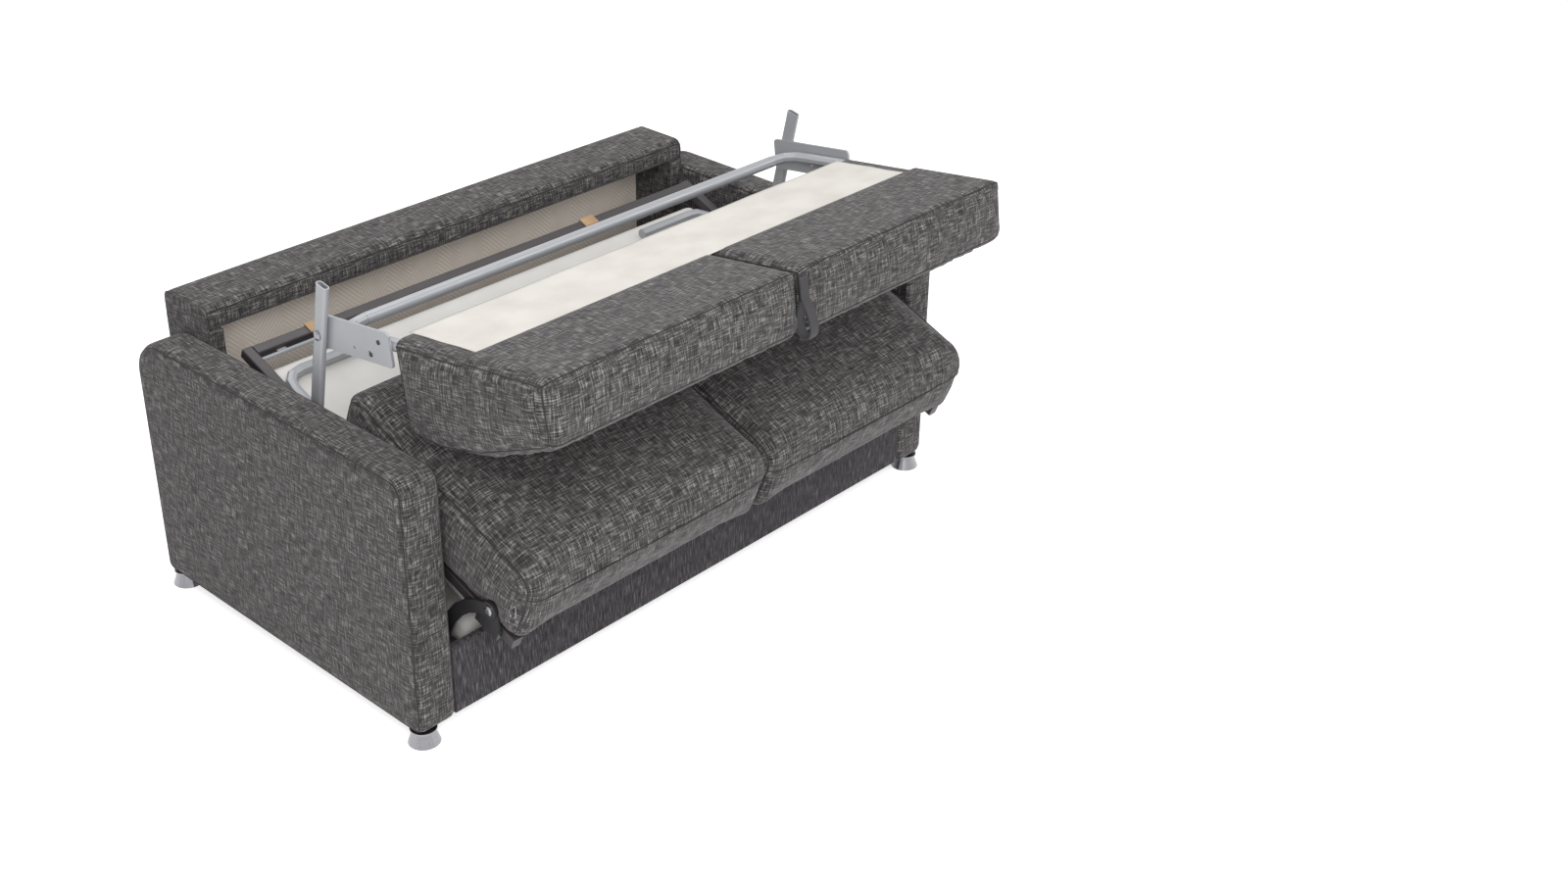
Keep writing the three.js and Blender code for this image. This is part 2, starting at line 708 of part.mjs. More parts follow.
function addBackFrameTubes() {
  const cross = barAlongX(-backTubeStraight, backTubeStraight, 0, 0, backTubeRadius, 20);
  piece(backUnit, 'back_cross_tube', cross, brushedSteel());
  piece(backUnit, 'back_side_tube_left', sideTubeGeometry(-1), brushedSteel());
  piece(backUnit, 'back_side_tube_right', sideTubeGeometry(1), brushedSteel());
}

function addBackPlate(side, name) {
  const outline = roundedOutline(-backPlateEnd, backPlateBottom, -backPlateStart, backPlateTop,
    Array(4).fill(backPlateRound));
  const holes = [[-tiltPivotAlong, tiltPivotOut, pinRadius + pinFit]];
  for (const share of boltHoleShares) {
    holes.push([-backPlateEnd * share, backPlateBottom / 2, boltHoleRadius]);
  }
  for (const [y, z, radius] of holes) {
    const hole = new THREE.Path();
    hole.absarc(y, z, radius, 0, 2 * Math.PI, true);
    outline.holes.push(hole);
  }
  const span = mirroredSpan(side, backPlateInner, backPlateOuter);
  piece(backUnit, name, acrossX(outline, ...span, 0, 6), paintedSteel());
}

function addBackPanel() {
  const half = backTubeSide - backTubeRadius - gap;
  const outline = roundedOutline(panelEdgeInset - backLength, -backTubeRadius, -backBottom,
    backFaceOut, Array(4).fill(tubeWallRound));
  piece(backUnit, 'back_panel', acrossX(outline, -half, half, 0, 2), offWhite());
}

// A wedge: thin at the free edge and thick at the lower end
function addBackCushion(side, name) {
  const width = unitHalfWidth - cushionGap / 2;
  const length = backLength - backBottom;
  const cushion = stuffedBlock([width, length, backCushionTopThickness], backCushionRound,
    [backCrown, 0], backCrown / 2, [10, 8, 5]);
  const place = cushion.attributes.position;
  const extra = backCushionBottomThickness - backCushionTopThickness;
  for (let index = 0; index < place.count; index += 1) {
    const share = place.getY(index) / length + 0.5;
    const depth = 0.5 - place.getZ(index) / backCushionTopThickness;
    place.setZ(index, place.getZ(index) - depth * extra * Math.min(1, share * wedgeShare));
  }
  cushion.translate(side * (unitHalfWidth + cushionGap / 2) / 2, -(backBottom + backLength) / 2,
    -backTubeRadius - gap - backCushionTopThickness / 2);
  piece(backUnit, name, cushion, charcoal());
}

// The pull strap hangs from the free edge, in the gap between the two cushions
function addPullStrap() {
  const corners = Array(4).fill(strapPullThickness / 3);
  const front = -backLength - strapPullThickness - gap;
  const hanging = roundedOutline(front, -strapPullLength, front + strapPullThickness, 0, corners);
  const sewn = roundedOutline(front, -strapPullThickness, panelEdgeInset - backLength - gap, 0,
    corners);
  const span = [-strapPullWidth / 2, strapPullWidth / 2];
  const strap = solid(acrossX(hanging, ...span, 0, 2)).add(solid(acrossX(sewn, ...span, 0, 2)));
  piece(backUnit, 'pull_strap', geometryOf(strap), darkCloth());
}

addBackFrameTubes();
addBackPlate(-1, 'back_plate_left');
addBackPlate(1, 'back_plate_right');
addBackPanel();
addBackCushion(-1, 'back_cushion_left');
addBackCushion(1, 'back_cushion_right');
addPullStrap();

// Head section: a tube frame and its mattress, between the two pairs of links
const headOuter = headHalfWidth;

function addHeadSection() {
  const frameFront = headFront + headOverhang;
  for (const [side, name] of [[-1, 'head_rail_left'], [1, 'head_rail_right']]) {
    const x = side * (headOuter - headRailSize / 2);
    piece(sofa, name, squareTubeY(frameFront, headRear, x, headPinZ, headRailSize), greyPaint());
  }
  const half = headOuter - headRailSize - gap;
  const crosses = [['head_cross_front', frameFront + headRailSize / 2],
    ['head_cross_rear', headRear - headRailSize / 2]];
  for (const [name, y] of crosses) {
    piece(sofa, name, squareTubeX(-half, half, y, headPinZ, headRailSize), greyPaint());
  }
  const top = headFrameBottom + headRailSize + gap + mattressThickness;
  piece(sofa, 'head_mattress', mattressGeometry(headFront, headRear, top), white());
}

// Each link carries a pin at both ends: one into the rail's ear, one against the head rail
function addLink(side, pinY, pivot, name) {
  const inner = headOuter + (railInside - headOuter - linkThickness) / 2;
  const top = [pinY, headPinZ];
  const [fromX, toX] = mirroredSpan(side, inner, inner + linkThickness);
  const plate = solid(acrossX(linkOutline(pivot, top, linkRadius, []), fromX, toX, 0, 6));
  const [pinFrom, pinTo] = mirroredSpan(side, inner + gap, railInside + earThickness + gap);
  const [topFrom, topTo] = mirroredSpan(side, headOuter + gap, inner + gap);
  const lower = solid(barAlongX(pinFrom, pinTo, ...pivot, linkPinRadius, 12));
  const upper = solid(barAlongX(topFrom, topTo, ...top, linkPinRadius, 12));
  piece(sofa, name, geometryOf(plate.add(lower).add(upper)), paintedSteel());
}

addHeadSection();
for (const [side, word] of [[-1, 'left'], [1, 'right']]) {
  addLink(side, frontLinkPinY, linkPivots.front, `front_link_${word}`);
  addLink(side, rearLinkPinY, linkPivots.rear, `rear_link_${word}`);
}

sofa.updateMatrixWorld(true);

export default sofa;
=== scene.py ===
"""Sleeper sofa with a pull-out bed, half open: covers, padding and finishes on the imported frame.

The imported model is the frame. Its steel, paint and boards stay and get finishes; its plain
soft solids are replaced by sewn covers. Lengths are in metres, in the frame's own axes.
"""

from __future__ import annotations

import json
import logging
import math
from dataclasses import dataclass, field
from enum import Enum

import bpy
import numpy as np
from bpy.types import Material, Node, NodeSocket, NodeTree, Object
from mathutils import Matrix, Vector

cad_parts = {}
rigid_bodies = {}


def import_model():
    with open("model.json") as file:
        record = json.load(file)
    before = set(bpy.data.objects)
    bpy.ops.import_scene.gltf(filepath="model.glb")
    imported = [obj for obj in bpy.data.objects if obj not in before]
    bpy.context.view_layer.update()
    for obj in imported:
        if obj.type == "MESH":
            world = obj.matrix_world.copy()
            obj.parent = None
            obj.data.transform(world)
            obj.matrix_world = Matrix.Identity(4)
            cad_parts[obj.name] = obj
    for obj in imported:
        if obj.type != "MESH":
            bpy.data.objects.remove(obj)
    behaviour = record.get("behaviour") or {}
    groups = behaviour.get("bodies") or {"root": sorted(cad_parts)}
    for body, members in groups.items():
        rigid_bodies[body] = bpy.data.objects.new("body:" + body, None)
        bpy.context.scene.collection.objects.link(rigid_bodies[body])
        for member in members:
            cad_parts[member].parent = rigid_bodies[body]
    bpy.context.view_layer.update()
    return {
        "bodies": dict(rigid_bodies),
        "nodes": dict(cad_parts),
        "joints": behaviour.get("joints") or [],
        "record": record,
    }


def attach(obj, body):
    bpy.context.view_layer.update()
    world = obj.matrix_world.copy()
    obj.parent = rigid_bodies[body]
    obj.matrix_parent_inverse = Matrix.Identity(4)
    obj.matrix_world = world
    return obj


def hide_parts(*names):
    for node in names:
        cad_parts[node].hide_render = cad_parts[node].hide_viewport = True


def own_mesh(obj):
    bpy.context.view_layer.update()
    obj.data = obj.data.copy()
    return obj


LOG = logging.getLogger("sleeper_sofa")


# Colour and node helpers


def linear(code: str) -> tuple[float, float, float, float]:
    """Turns an sRGB hex colour into linear light.

    Args:
        code: The colour as "#rrggbb".

    Returns:
        Red, green, blue and alpha, each from 0 to 1.
    """
    parts = [int(code[i : i + 2], 16) / 255 for i in (1, 3, 5)]
    red, green, blue = (p / 12.92 if p <= 0.04045 else ((p + 0.055) / 1.055) ** 2.4 for p in parts)
    return red, green, blue, 1.0


def add_node(
    tree: NodeTree, kind: str, settings: dict | None = None, inputs: dict | None = None
) -> Node:
    """Adds one shader node.

    Args:
        tree: The node tree that gets it.
        kind: The node's type name, without ShaderNode in front.
        settings: Its properties by name.
        inputs: Its inputs by name or index, each a value or another node's output.

    Returns:
        The new node.
    """
    node = tree.nodes.new(f"ShaderNode{kind}")
    for name, value in (settings or {}).items():
        setattr(node, name, value)
    feed(tree, node, inputs or {})
    return node


def feed(tree: NodeTree, node: Node, inputs: dict) -> None:
    """Sets a node's inputs.

    Args:
        tree: The tree that the node is in.
        node: The node.
        inputs: Its inputs by name or index, each a value or another node's output.
    """
    for name, value in inputs.items():
        if isinstance(value, NodeSocket):
            tree.links.new(value, node.inputs[name])
        else:
            node.inputs[name].default_value = value


def set_ramp(node: Node, stops: list[tuple[float, str]]) -> None:
    """Gives a colour ramp its stops.

    Args:
        node: The colour ramp node.
        stops: Each stop's place and sRGB hex colour, in order.
    """
    ramp = node.color_ramp
    while len(ramp.elements) < len(stops):
        ramp.elements.new(1.0)
    for element, (place, code) in zip(ramp.elements, stops):
        element.position = place
        element.color = linear(code)


class Grain(Enum):
    """Where a pattern reads its place on a piece."""

    CLOTH = "the piece's own cloth map, in metres along and across the cloth"
    OBJECT = "object coordinates, laid flat on whichever of the three planes a face is nearest"


def cloth_place(tree: NodeTree, grain: Grain) -> NodeSocket:
    """Gives the two lengths along a cloth, in metres.

    On the cloth map it is the map itself. On object coordinates, a face whose normal is mostly
    along X reads (y, z), one mostly along Z reads (x, y), and any other (x, z).

    Args:
        tree: The material's node tree.
        grain: Which of the two it reads.

    Returns:
        The vector socket.
    """
    if grain is Grain.CLOTH:
        return add_node(tree, "UVMap", {"uv_map": "cloth"}).outputs["UV"]
    place = add_node(tree, "TexCoord")
    at = add_node(tree, "SeparateXYZ", None, {0: place.outputs["Object"]}).outputs
    size = add_node(tree, "VectorMath", {"operation": "ABSOLUTE"}, {0: place.outputs["Normal"]})
    facing = add_node(tree, "SeparateXYZ", None, {0: size.outputs[0]}).outputs
    over = {"operation": "GREATER_THAN"}
    side = add_node(tree, "Math", over, {0: facing[0], 1: 0.7}).outputs[0]
    flat = add_node(tree, "Math", over, {0: facing[2], 1: 0.7}).outputs[0]
    along = add_node(tree, "Mix", None, {0: side, 2: at[0], 3: at[1]}).outputs[0]
    across = add_node(tree, "Mix", None, {0: flat, 2: at[2], 3: at[1]}).outputs[0]
    return add_node(tree, "CombineXYZ", None, {0: along, 1: across}).outputs[0]


def slubs(tree: NodeTree, place: NodeSocket, along: float, across: float) -> NodeSocket:
    """Uneven threads: noise that is long along one thread and short across it.

    Args:
        tree: The material's node tree.
        place: The cloth's lengths in metres.
        along: A slub's size in the cloth's first direction, in metres.
        across: Its size in the second direction, in metres.

    Returns:
        The noise, from 0 to 1.
    """
    scaled = add_node(
        tree, "Mapping", None, {"Vector": place, "Scale": (1 / along, 1 / across, 1.0)}
    )
    noise = {"Vector": scaled.outputs[0], "Scale": 1.0, "Detail": 2.0, "Roughness": 0.6}
    return add_node(tree, "TexNoise", None, noise).outputs[0]


# Finishes. Each is named for the real material and how its surface was made.


@dataclass(frozen=True)
class MelangeWeave:
    """Flat-woven polyester melange: dark yarn with pale slubs both ways, which reads as a fine
    crosshatch. The yarn is about 1.2 mm thick; it is drawn about 2.8 mm so that it shows."""

    name: str
    dark: str = "#1c191b"
    middle: str = "#474444"
    pale: str = "#a29e9d"
    yarn: float = 0.0028
    slub: float = 0.034
    ribbed: bool = False
    grain: Grain = Grain.CLOTH

    def build(self) -> Material:
        """Builds the material and returns it."""
        material, tree, shader = blank(self.name)
        place = cloth_place(tree, self.grain)
        warp = slubs(tree, place, self.yarn, self.slub)
        weft = slubs(tree, place, self.slub, self.yarn)
        over = add_node(tree, "Math", {"operation": "MAXIMUM"}, {0: warp, 1: weft}).outputs[0]
        under = add_node(tree, "Math", {"operation": "MINIMUM"}, {0: warp, 1: weft}).outputs[0]
        mix = {0: 0.16, 2: warp, 3: weft} if self.ribbed else {0: 0.42, 2: over, 3: under}
        threads = add_node(tree, "Mix", None, mix).outputs[0]
        colour = add_node(tree, "ValToRGB", None, {0: threads})
        set_ramp(colour, [(0.38, self.dark), (0.52, self.middle), (0.7, self.pale)])
        broad = add_node(tree, "TexNoise", None, {"Vector": place, "Scale": 9.0})
        tone = add_node(
            tree, "MapRange", None, {0: broad.outputs[0], 1: 0.3, 2: 0.7, 3: 0.9, 4: 1.1}
        )
        shaded = add_node(
            tree,
            "VectorMath",
            {"operation": "SCALE"},
            {0: colour.outputs[0], "Scale": tone.outputs[0]},
        )
        bump = add_node(
            tree, "Bump", None, {"Strength": 0.5, "Distance": 0.0012, "Height": threads}
        )
        looks = {
            "Base Color": shaded.outputs[0],
            "Normal": bump.outputs[0],
            "Roughness": 0.92,
            "Specular IOR Level": 0.25,
            "Sheen Weight": 0.12,
            "Sheen Roughness": 0.5,
        }
        feed(tree, shader, looks)
        return material


@dataclass(frozen=True)
class PrintedLining:
    """Non-woven lining with a faint printed herringbone of short parallel strokes."""

    name: str
    ground: str = "#e4d8cb"
    line: str = "#fdf9f4"
    column: float = 0.075
    pitch: float = 0.0125

    def build(self) -> Material:
        """Strokes lean one way in one column and the other way in the next: the height is
        folded by a triangle wave of the width before it is cut into lines."""
        material, tree, shader = blank(self.name)
        place = cloth_place(tree, Grain.OBJECT)
        at = add_node(tree, "SeparateXYZ", None, {0: place}).outputs
        fold = add_node(
            tree, "Math", {"operation": "PINGPONG"}, {0: at[0], 1: self.column}
        ).outputs[0]
        raised = add_node(tree, "Math", None, {0: at[1], 1: fold}).outputs[0]
        cell = add_node(
            tree, "Math", {"operation": "PINGPONG"}, {0: raised, 1: self.pitch / 2}
        ).outputs[0]
        stroke = add_node(
            tree,
            "MapRange",
            None,
            {0: cell, 1: self.pitch * 0.36, 2: self.pitch * 0.46, 3: 0.0, 4: 1.0},
        ).outputs[0]
        wear = add_node(tree, "TexNoise", None, {"Vector": place, "Scale": 26.0})
        kept = add_node(
            tree, "MapRange", None, {0: wear.outputs[0], 1: 0.34, 2: 0.5, 3: 0.15, 4: 1.0}
        ).outputs[0]
        amount = add_node(tree, "Math", {"operation": "MULTIPLY"}, {0: stroke, 1: kept}).outputs[0]
        colour = add_node(
            tree,
            "Mix",
            {"data_type": "RGBA"},
            {0: amount, 6: linear(self.ground), 7: linear(self.line)},
        )
        fibre = add_node(tree, "TexNoise", None, {"Vector": place, "Scale": 700.0})
        bump = add_node(
            tree, "Bump", None, {"Strength": 0.2, "Distance": 0.0006, "Height": fibre.outputs[0]}
        )
        looks = {"Base Color": colour.outputs[2], "Normal": bump.outputs[0], "Roughness": 0.85}
        feed(tree, shader, looks)
        return material


@dataclass(frozen=True)
class PlainCloth:
    """Undyed woven cloth, such as ticking, backing felt or webbing: one colour that varies a
    little, and fine ribs across it. rib is the ribs' pitch in metres."""

    name: str
    low: str
    high: str
    rib: float
    strength: float = 0.3
    grain: Grain = Grain.CLOTH

    def build(self) -> Material:
        """Builds the material and returns it."""
        material, tree, shader = blank(self.name)
        place = cloth_place(tree, self.grain)
        broad = add_node(tree, "TexNoise", None, {"Vector": place, "Scale": 11.0, "Detail": 4.0})
        colour = add_node(tree, "ValToRGB", None, {0: broad.outputs[0]})
        set_ramp(colour, [(0.3, self.low), (0.65, self.high)])
        ribs = slubs(tree, place, self.rib, self.rib * 9)
        bump = add_node(
            tree,
            "Bump",
            None,
            {"Strength": self.strength, "Distance": self.rib * 0.4, "Height": ribs},
        )
        looks = {
            "Base Color": colour.outputs[0],
            "Normal": bump.outputs[0],
            "Roughness": 0.88,
            "Sheen Weight": 0.08,
        }
        feed(tree, shader, looks)
        return material


@dataclass(frozen=True)
class DrawnSteel:
    """Drawn and polished steel tube or turned foot: fine lines round it that spread the gloss."""

    name: str
    colour: str = "#97979b"
    roughness: float = 0.24

    def build(self) -> Material:
        """Builds the material and returns it."""
        material, tree, shader = blank(self.name)
        place = add_node(tree, "TexCoord").outputs["Object"]
        drawn = add_node(tree, "Mapping", None, {"Vector": place, "Scale": (9.0, 9.0, 700.0)})
        lines = add_node(
            tree, "TexNoise", None, {"Vector": drawn.outputs[0], "Scale": 1.0}
        ).outputs[0]
        rough = add_node(
            tree,
            "MapRange",
            None,
            {0: lines, 1: 0.3, 2: 0.7, 3: self.roughness - 0.06, 4: self.roughness + 0.08},
        )
        bump = add_node(tree, "Bump", None, {"Strength": 0.04, "Distance": 0.0001, "Height": lines})
        looks = {
            "Base Color": linear(self.colour),
            "Metallic": 1.0,
            "Roughness": rough.outputs[0],
            "Normal": bump.outputs[0],
        }
        feed(tree, shader, looks)
        return material


@dataclass(frozen=True)
class PowderCoat:
    """Powder-coated steel: one colour with a very fine orange-peel skin and scuffed gloss."""

    name: str
    colour: str
    roughness: float = 0.42
    metallic: float = 0.0

    def build(self) -> Material:
        """Builds the material and returns it."""
        material, tree, shader = blank(self.name)
        place = add_node(tree, "TexCoord").outputs["Object"]
        peel = add_node(tree, "TexNoise", None, {"Vector": place, "Scale": 420.0})
        gloss, dull = self.roughness - 0.05, self.roughness + 0.1
        scuff = add_node(tree, "TexNoise", None, {"Vector": place, "Scale": 14.0, "Detail": 5.0})
        rough = add_node(
            tree, "MapRange", None, {0: scuff.outputs[0], 1: 0.3, 2: 0.7, 3: gloss, 4: dull}
        )
        bump = add_node(
            tree, "Bump", None, {"Strength": 0.15, "Distance": 0.0003, "Height": peel.outputs[0]}
        )
        looks = {
            "Base Color": linear(self.colour),
            "Metallic": self.metallic,
            "Roughness": rough.outputs[0],
            "Normal": bump.outputs[0],
        }
        feed(tree, shader, looks)
        return material


@dataclass(frozen=True)
class BeechSlat:
    """Layered beech slat: pale straight grain along the slat, under clear lacquer."""

    name: str
    low: str = "#b98f63"
    high: str = "#d4ad80"

    def build(self) -> Material:
        """Builds the material and returns it."""
        material, tree, shader = blank(self.name)
        place = add_node(tree, "TexCoord").outputs["Object"]
        grain = slubs(tree, place, 0.12, 0.004)
        colour = add_node(tree, "ValToRGB", None, {0: grain})
        set_ramp(colour, [(0.35, self.low), (0.65, self.high)])
        looks = {"Base Color": colour.outputs[0], "Roughness": 0.45}
        feed(tree, shader, looks)
        return material


def blank(name: str) -> tuple[Material, NodeTree, Node]:
    """Makes an empty node material.

    Args:
        name: The material's name.

    Returns:
        The material, its node tree and its shader node.
    """
    material = bpy.data.materials.new(name)
    material.use_nodes = True
    tree = material.node_tree
    tree.nodes.clear()
    shader = add_node(tree, "BsdfPrincipled")
    add_node(tree, "OutputMaterial", None, {0: shader.outputs[0]})
    return material, tree, shader


Finishes = dict[str, Material]


def make_finishes() -> Finishes:
    """Builds every finish of the sofa once, and returns them by name."""
    recipes = {
        "weave": MelangeWeave("charcoal_melange_weave"),
        "board_weave": MelangeWeave("charcoal_melange_on_board", grain=Grain.OBJECT),
        "ribbed": MelangeWeave(
            "dark_ribbed_weave", "#1d1b1e", "#3b383b", "#6b686b", ribbed=True, grain=Grain.OBJECT
        ),
        "seam": PlainCloth("sewing_thread", "#161517", "#1f1d1f", 0.001),
        "lining": PrintedLining("printed_lining"),
        "ticking": PlainCloth("white_ticking", "#d5d2ce", "#dcdad6", 0.002),
        "backing": PlainCloth("backing_felt", "#cfcac3", "#dbd7d1", 0.003, 0.4),
        "webbing": PlainCloth("tan_webbing", "#a98863", "#bd9d78", 0.002, 0.6, Grain.OBJECT),
        "tape": PlainCloth("dark_tape", "#2b2a2c", "#3d3b3e", 0.002, 0.6),
        "steel": DrawnSteel("drawn_steel"),
        "silver": PowderCoat("silver_powder_coat", "#a3a5a9", 0.36, 0.3),
        "grey": PowderCoat("grey_powder_coat", "#3b3639"),
        "black": PowderCoat("black_powder_coat", "#1e1d1f"),
        "beech": BeechSlat("beech_slat"),
    }
    return {name: recipe.build() for name, recipe in recipes.items()}


# The finish of each CAD node that stays, by how the node's name starts
NODE_FINISH = {
    "steel": ("foot", "flip_pin", "raise_pin", "tilt_pin"),
    "silver": (
        *("back_cross_tube", "back_side_tube", "back_plate", "leg"),
        *("corner_brace", "retaining_rod", "front_link", "rear_link"),
    ),
    "grey": ("seat_rail", "seat_cross", "head_rail", "head_cross"),
    "black": ("side_rail", "front_cross_rail", "rear_cross_rail", "gooseneck", "seat_plate"),
    "beech": ("seat_slat",),
    "webbing": ("strap",),
    "board_weave": ("back_rear_panel",),
    "lining": ("back_liner",),
    "ribbed": ("front_panel",),
}


# Places and meshes


@dataclass(frozen=True)
class LocalFrame:
    """A frame turned about X: its origin in the sofa's Y and Z, and its tilt in degrees."""

    y: float = 0.0
    z: float = 0.0
    tilt: float = 0.0

    def to_row(self, points: np.ndarray) -> np.ndarray:
        """Turns points by the tilt about X, then moves them by the frame's origin.

        Args:
            points: An array whose last axis is x, y and z in this frame.

        Returns:
            The same points in the sofa's own frame.
        """
        c, s = math.cos(math.radians(self.tilt)), math.sin(math.radians(self.tilt))
        x, y, z = points[..., 0], points[..., 1], points[..., 2]
        return np.stack([x, self.y + y * c - z * s, self.z + y * s + z * c], axis=-1)


# The sofa's own frame, the seat's at the flip pins, and the back's on its tube, in the seat's
BACK_TUBE = (0.0, 0.590, 0.2496)
ROW = LocalFrame()
SEAT = LocalFrame(-0.560, 0.345, 22.0)
BACK = LocalFrame(*SEAT.to_row(np.array(BACK_TUBE))[1:].tolist(), tilt=-8.0)

# Sizes that several pieces share
SIDES = ((-1, "left"), (1, "right"))
UNIT_HALF_WIDTH = 0.690
CUSHION_GAP = 0.0015
CLEARANCE = 0.0003
BED_RAIL = 0.025
SEAT_FRAME_DROP = 0.041
HEAD_FRAME_BOTTOM = 0.1275
MATTRESS_THICKNESS = 0.066


def new_object(
    name: str,
    points: np.ndarray,
    faces: list,
    cloth: np.ndarray | None,
    material: Material,
    crease: float = 60.0,
) -> Object:
    """Puts points and faces into a new object at the origin.

    Args:
        name: The piece's name.
        points: Its vertices, n by 3.
        faces: Lists of vertex numbers.
        cloth: The cloth map for each face corner, or None.
        material: Its finish.
        crease: Edges sharper than this, in degrees, stay sharp.

    Returns:
        The object.
    """
    mesh = bpy.data.meshes.new(name)
    mesh.from_pydata(points.tolist(), [], faces)
    if cloth is not None:
        layer = mesh.uv_layers.new(name="cloth")
        layer.data.foreach_set("uv", cloth.astype(np.float32).ravel())
    mesh.materials.append(material)
    mesh.shade_smooth()
    mesh.set_sharp_from_angle(angle=math.radians(crease))
    mesh.validate()
    made = bpy.data.objects.new(name, mesh)
    bpy.context.scene.collection.objects.link(made)
    return made


def ring_faces(rows: int, count: int) -> np.ndarray:
    """Faces of a grid of rings that close on themselves.

    Args:
        rows: How many rings.
        count: Points in each ring.

    Returns:
        Four vertex numbers for each face.
    """
    r, k = np.meshgrid(np.arange(rows - 1), np.arange(count), indexing="ij")
    after = (k + 1) % count
    quads = [r * count + k, r * count + after, (r + 1) * count + after, (r + 1) * count + k]
    return np.stack(quads, axis=-1).reshape(-1, 4)


def zipped(start: int, count: int, back: bool) -> list[list[int]]:
    """Closes a ring across its middle line: point k is joined to point count - k.

    Args:
        start: The ring's first vertex number.
        count: Points in the ring, an even number.
        back: Whether the faces turn the other way.

    Returns:
        The faces, a triangle at each end of the line and quads between.
    """
    k = np.arange(1, count // 2 - 1)
    quads = np.stack([k, k + 1, count - k - 1, count - k], axis=-1)
    half = count // 2
    faces = [[0, 1, count - 1], [half - 1, half, half + 1], *quads.tolist()]
    return [[start + v for v in (face[::-1] if back else face)] for face in faces]


def rectangle(
    front: float, rear: float, low: float, top: float, radii: tuple[float, ...]
) -> list[tuple[float, float, float]]:
    """The four corners of an upright outline, counter-clockwise from its lower front.

    Args:
        front: Its least Y.
        rear: Its greatest Y.
        low: Its least Z.
        top: Its greatest Z.
        radii: The radius of each corner, in order.

    Returns:
        Each corner's Y, Z and radius.
    """
    places = ((front, low), (rear, low), (rear, top), (front, top))
    return [(y, z, radius) for (y, z), radius in zip(places, radii)]


def rounded_loop(corners: list[tuple[float, float, float]], spacing: float) -> np.ndarray:
    """A closed outline with rounded corners, its points evenly spaced.

    Each corner's arc is centred on the line that halves the corner, at radius over the sine of
    half its angle. The arcs are joined, measured along their length and resampled.

    Args:
        corners: Each corner's two coordinates and radius, counter-clockwise.
        spacing: The distance between points.

    Returns:
        The points, n by 2.
    """
    spots = np.array([c[:2] for c in corners])
    arcs = []
    for index, (_, _, radius) in enumerate(corners):
        spot = spots[index]
        back = spots[index - 1] - spot
        on = spots[(index + 1) % len(spots)] - spot
        back, on = back / np.linalg.norm(back), on / np.linalg.norm(on)
        half = math.acos(np.clip(back @ on, -1, 1)) / 2
        middle = (back + on) / np.linalg.norm(back + on)
        centre = spot + middle * radius / math.sin(half)
        first = spot + back * radius / math.tan(half) - centre
        last = spot + on * radius / math.tan(half) - centre
        turn = math.pi - 2 * half
        share = np.linspace(0, 1, max(3, int(turn * radius / spacing * 2)))[:, None]
        arc = (np.sin((1 - share) * turn) * first + np.sin(share * turn) * last) / math.sin(turn)
        arcs.append(centre + arc)
    line = np.concatenate([*arcs, arcs[0][:1]])
    lengths = np.r_[0, np.cumsum(np.linalg.norm(np.diff(line, axis=0), axis=1))]
    count = 2 * int(round(lengths[-1] / spacing / 2))
    at = np.linspace(0, lengths[-1], count, endpoint=False)
    return np.stack([np.interp(at, lengths, line[:, axis]) for axis in (0, 1)], axis=-1)


def outward(loop: np.ndarray) -> np.ndarray:
    """The outward normal at each point of a counter-clockwise loop, from its neighbours."""
    along = np.roll(loop, -1, axis=0) - np.roll(loop, 1, axis=0)
    normal = np.stack([along[:, 1], -along[:, 0]], axis=-1)
    return normal / np.linalg.norm(normal, axis=1, keepdims=True)


def tube(path: np.ndarray, radius: float, sides: int = 6, closed: bool = False) -> tuple:
    """A round cord along a path: circles square to it, turned as little as the path allows.

    Args:
        path: Points along it, n by 3.
        radius: The cord's radius.
        sides: Points in each circle.
        closed: Whether the path joins its own start.

    Returns:
        Vertices and faces.
    """
    if closed:
        along = np.roll(path, -1, axis=0) - np.roll(path, 1, axis=0)
    else:
        along = np.gradient(path, axis=0)
    along = along / np.linalg.norm(along, axis=1, keepdims=True)
    spread = np.ptp(path, axis=0)
    steady = np.eye(3)[int(np.argmin(spread))]
    side = np.cross(along, steady)
    side = side / np.maximum(np.linalg.norm(side, axis=1, keepdims=True), 1e-9)
    up = np.cross(side, along)
    turn = np.linspace(0, 2 * math.pi, sides, endpoint=False)[None, :, None]
    points = path[:, None] + radius * (np.cos(turn) * side[:, None] + np.sin(turn) * up[:, None])
    rows = len(path)
    if closed:
        points = np.concatenate([points, points[:1]])
        faces = ring_faces(rows + 1, sides)
        faces = np.where(faces >= rows * sides, faces - rows * sides, faces)
        return points[:rows].reshape(-1, 3), faces.tolist()
    ends = [list(range(sides))[::-1], list(range((rows - 1) * sides, rows * sides))]
    return points.reshape(-1, 3), [*ring_faces(rows, sides).tolist(), *ends]


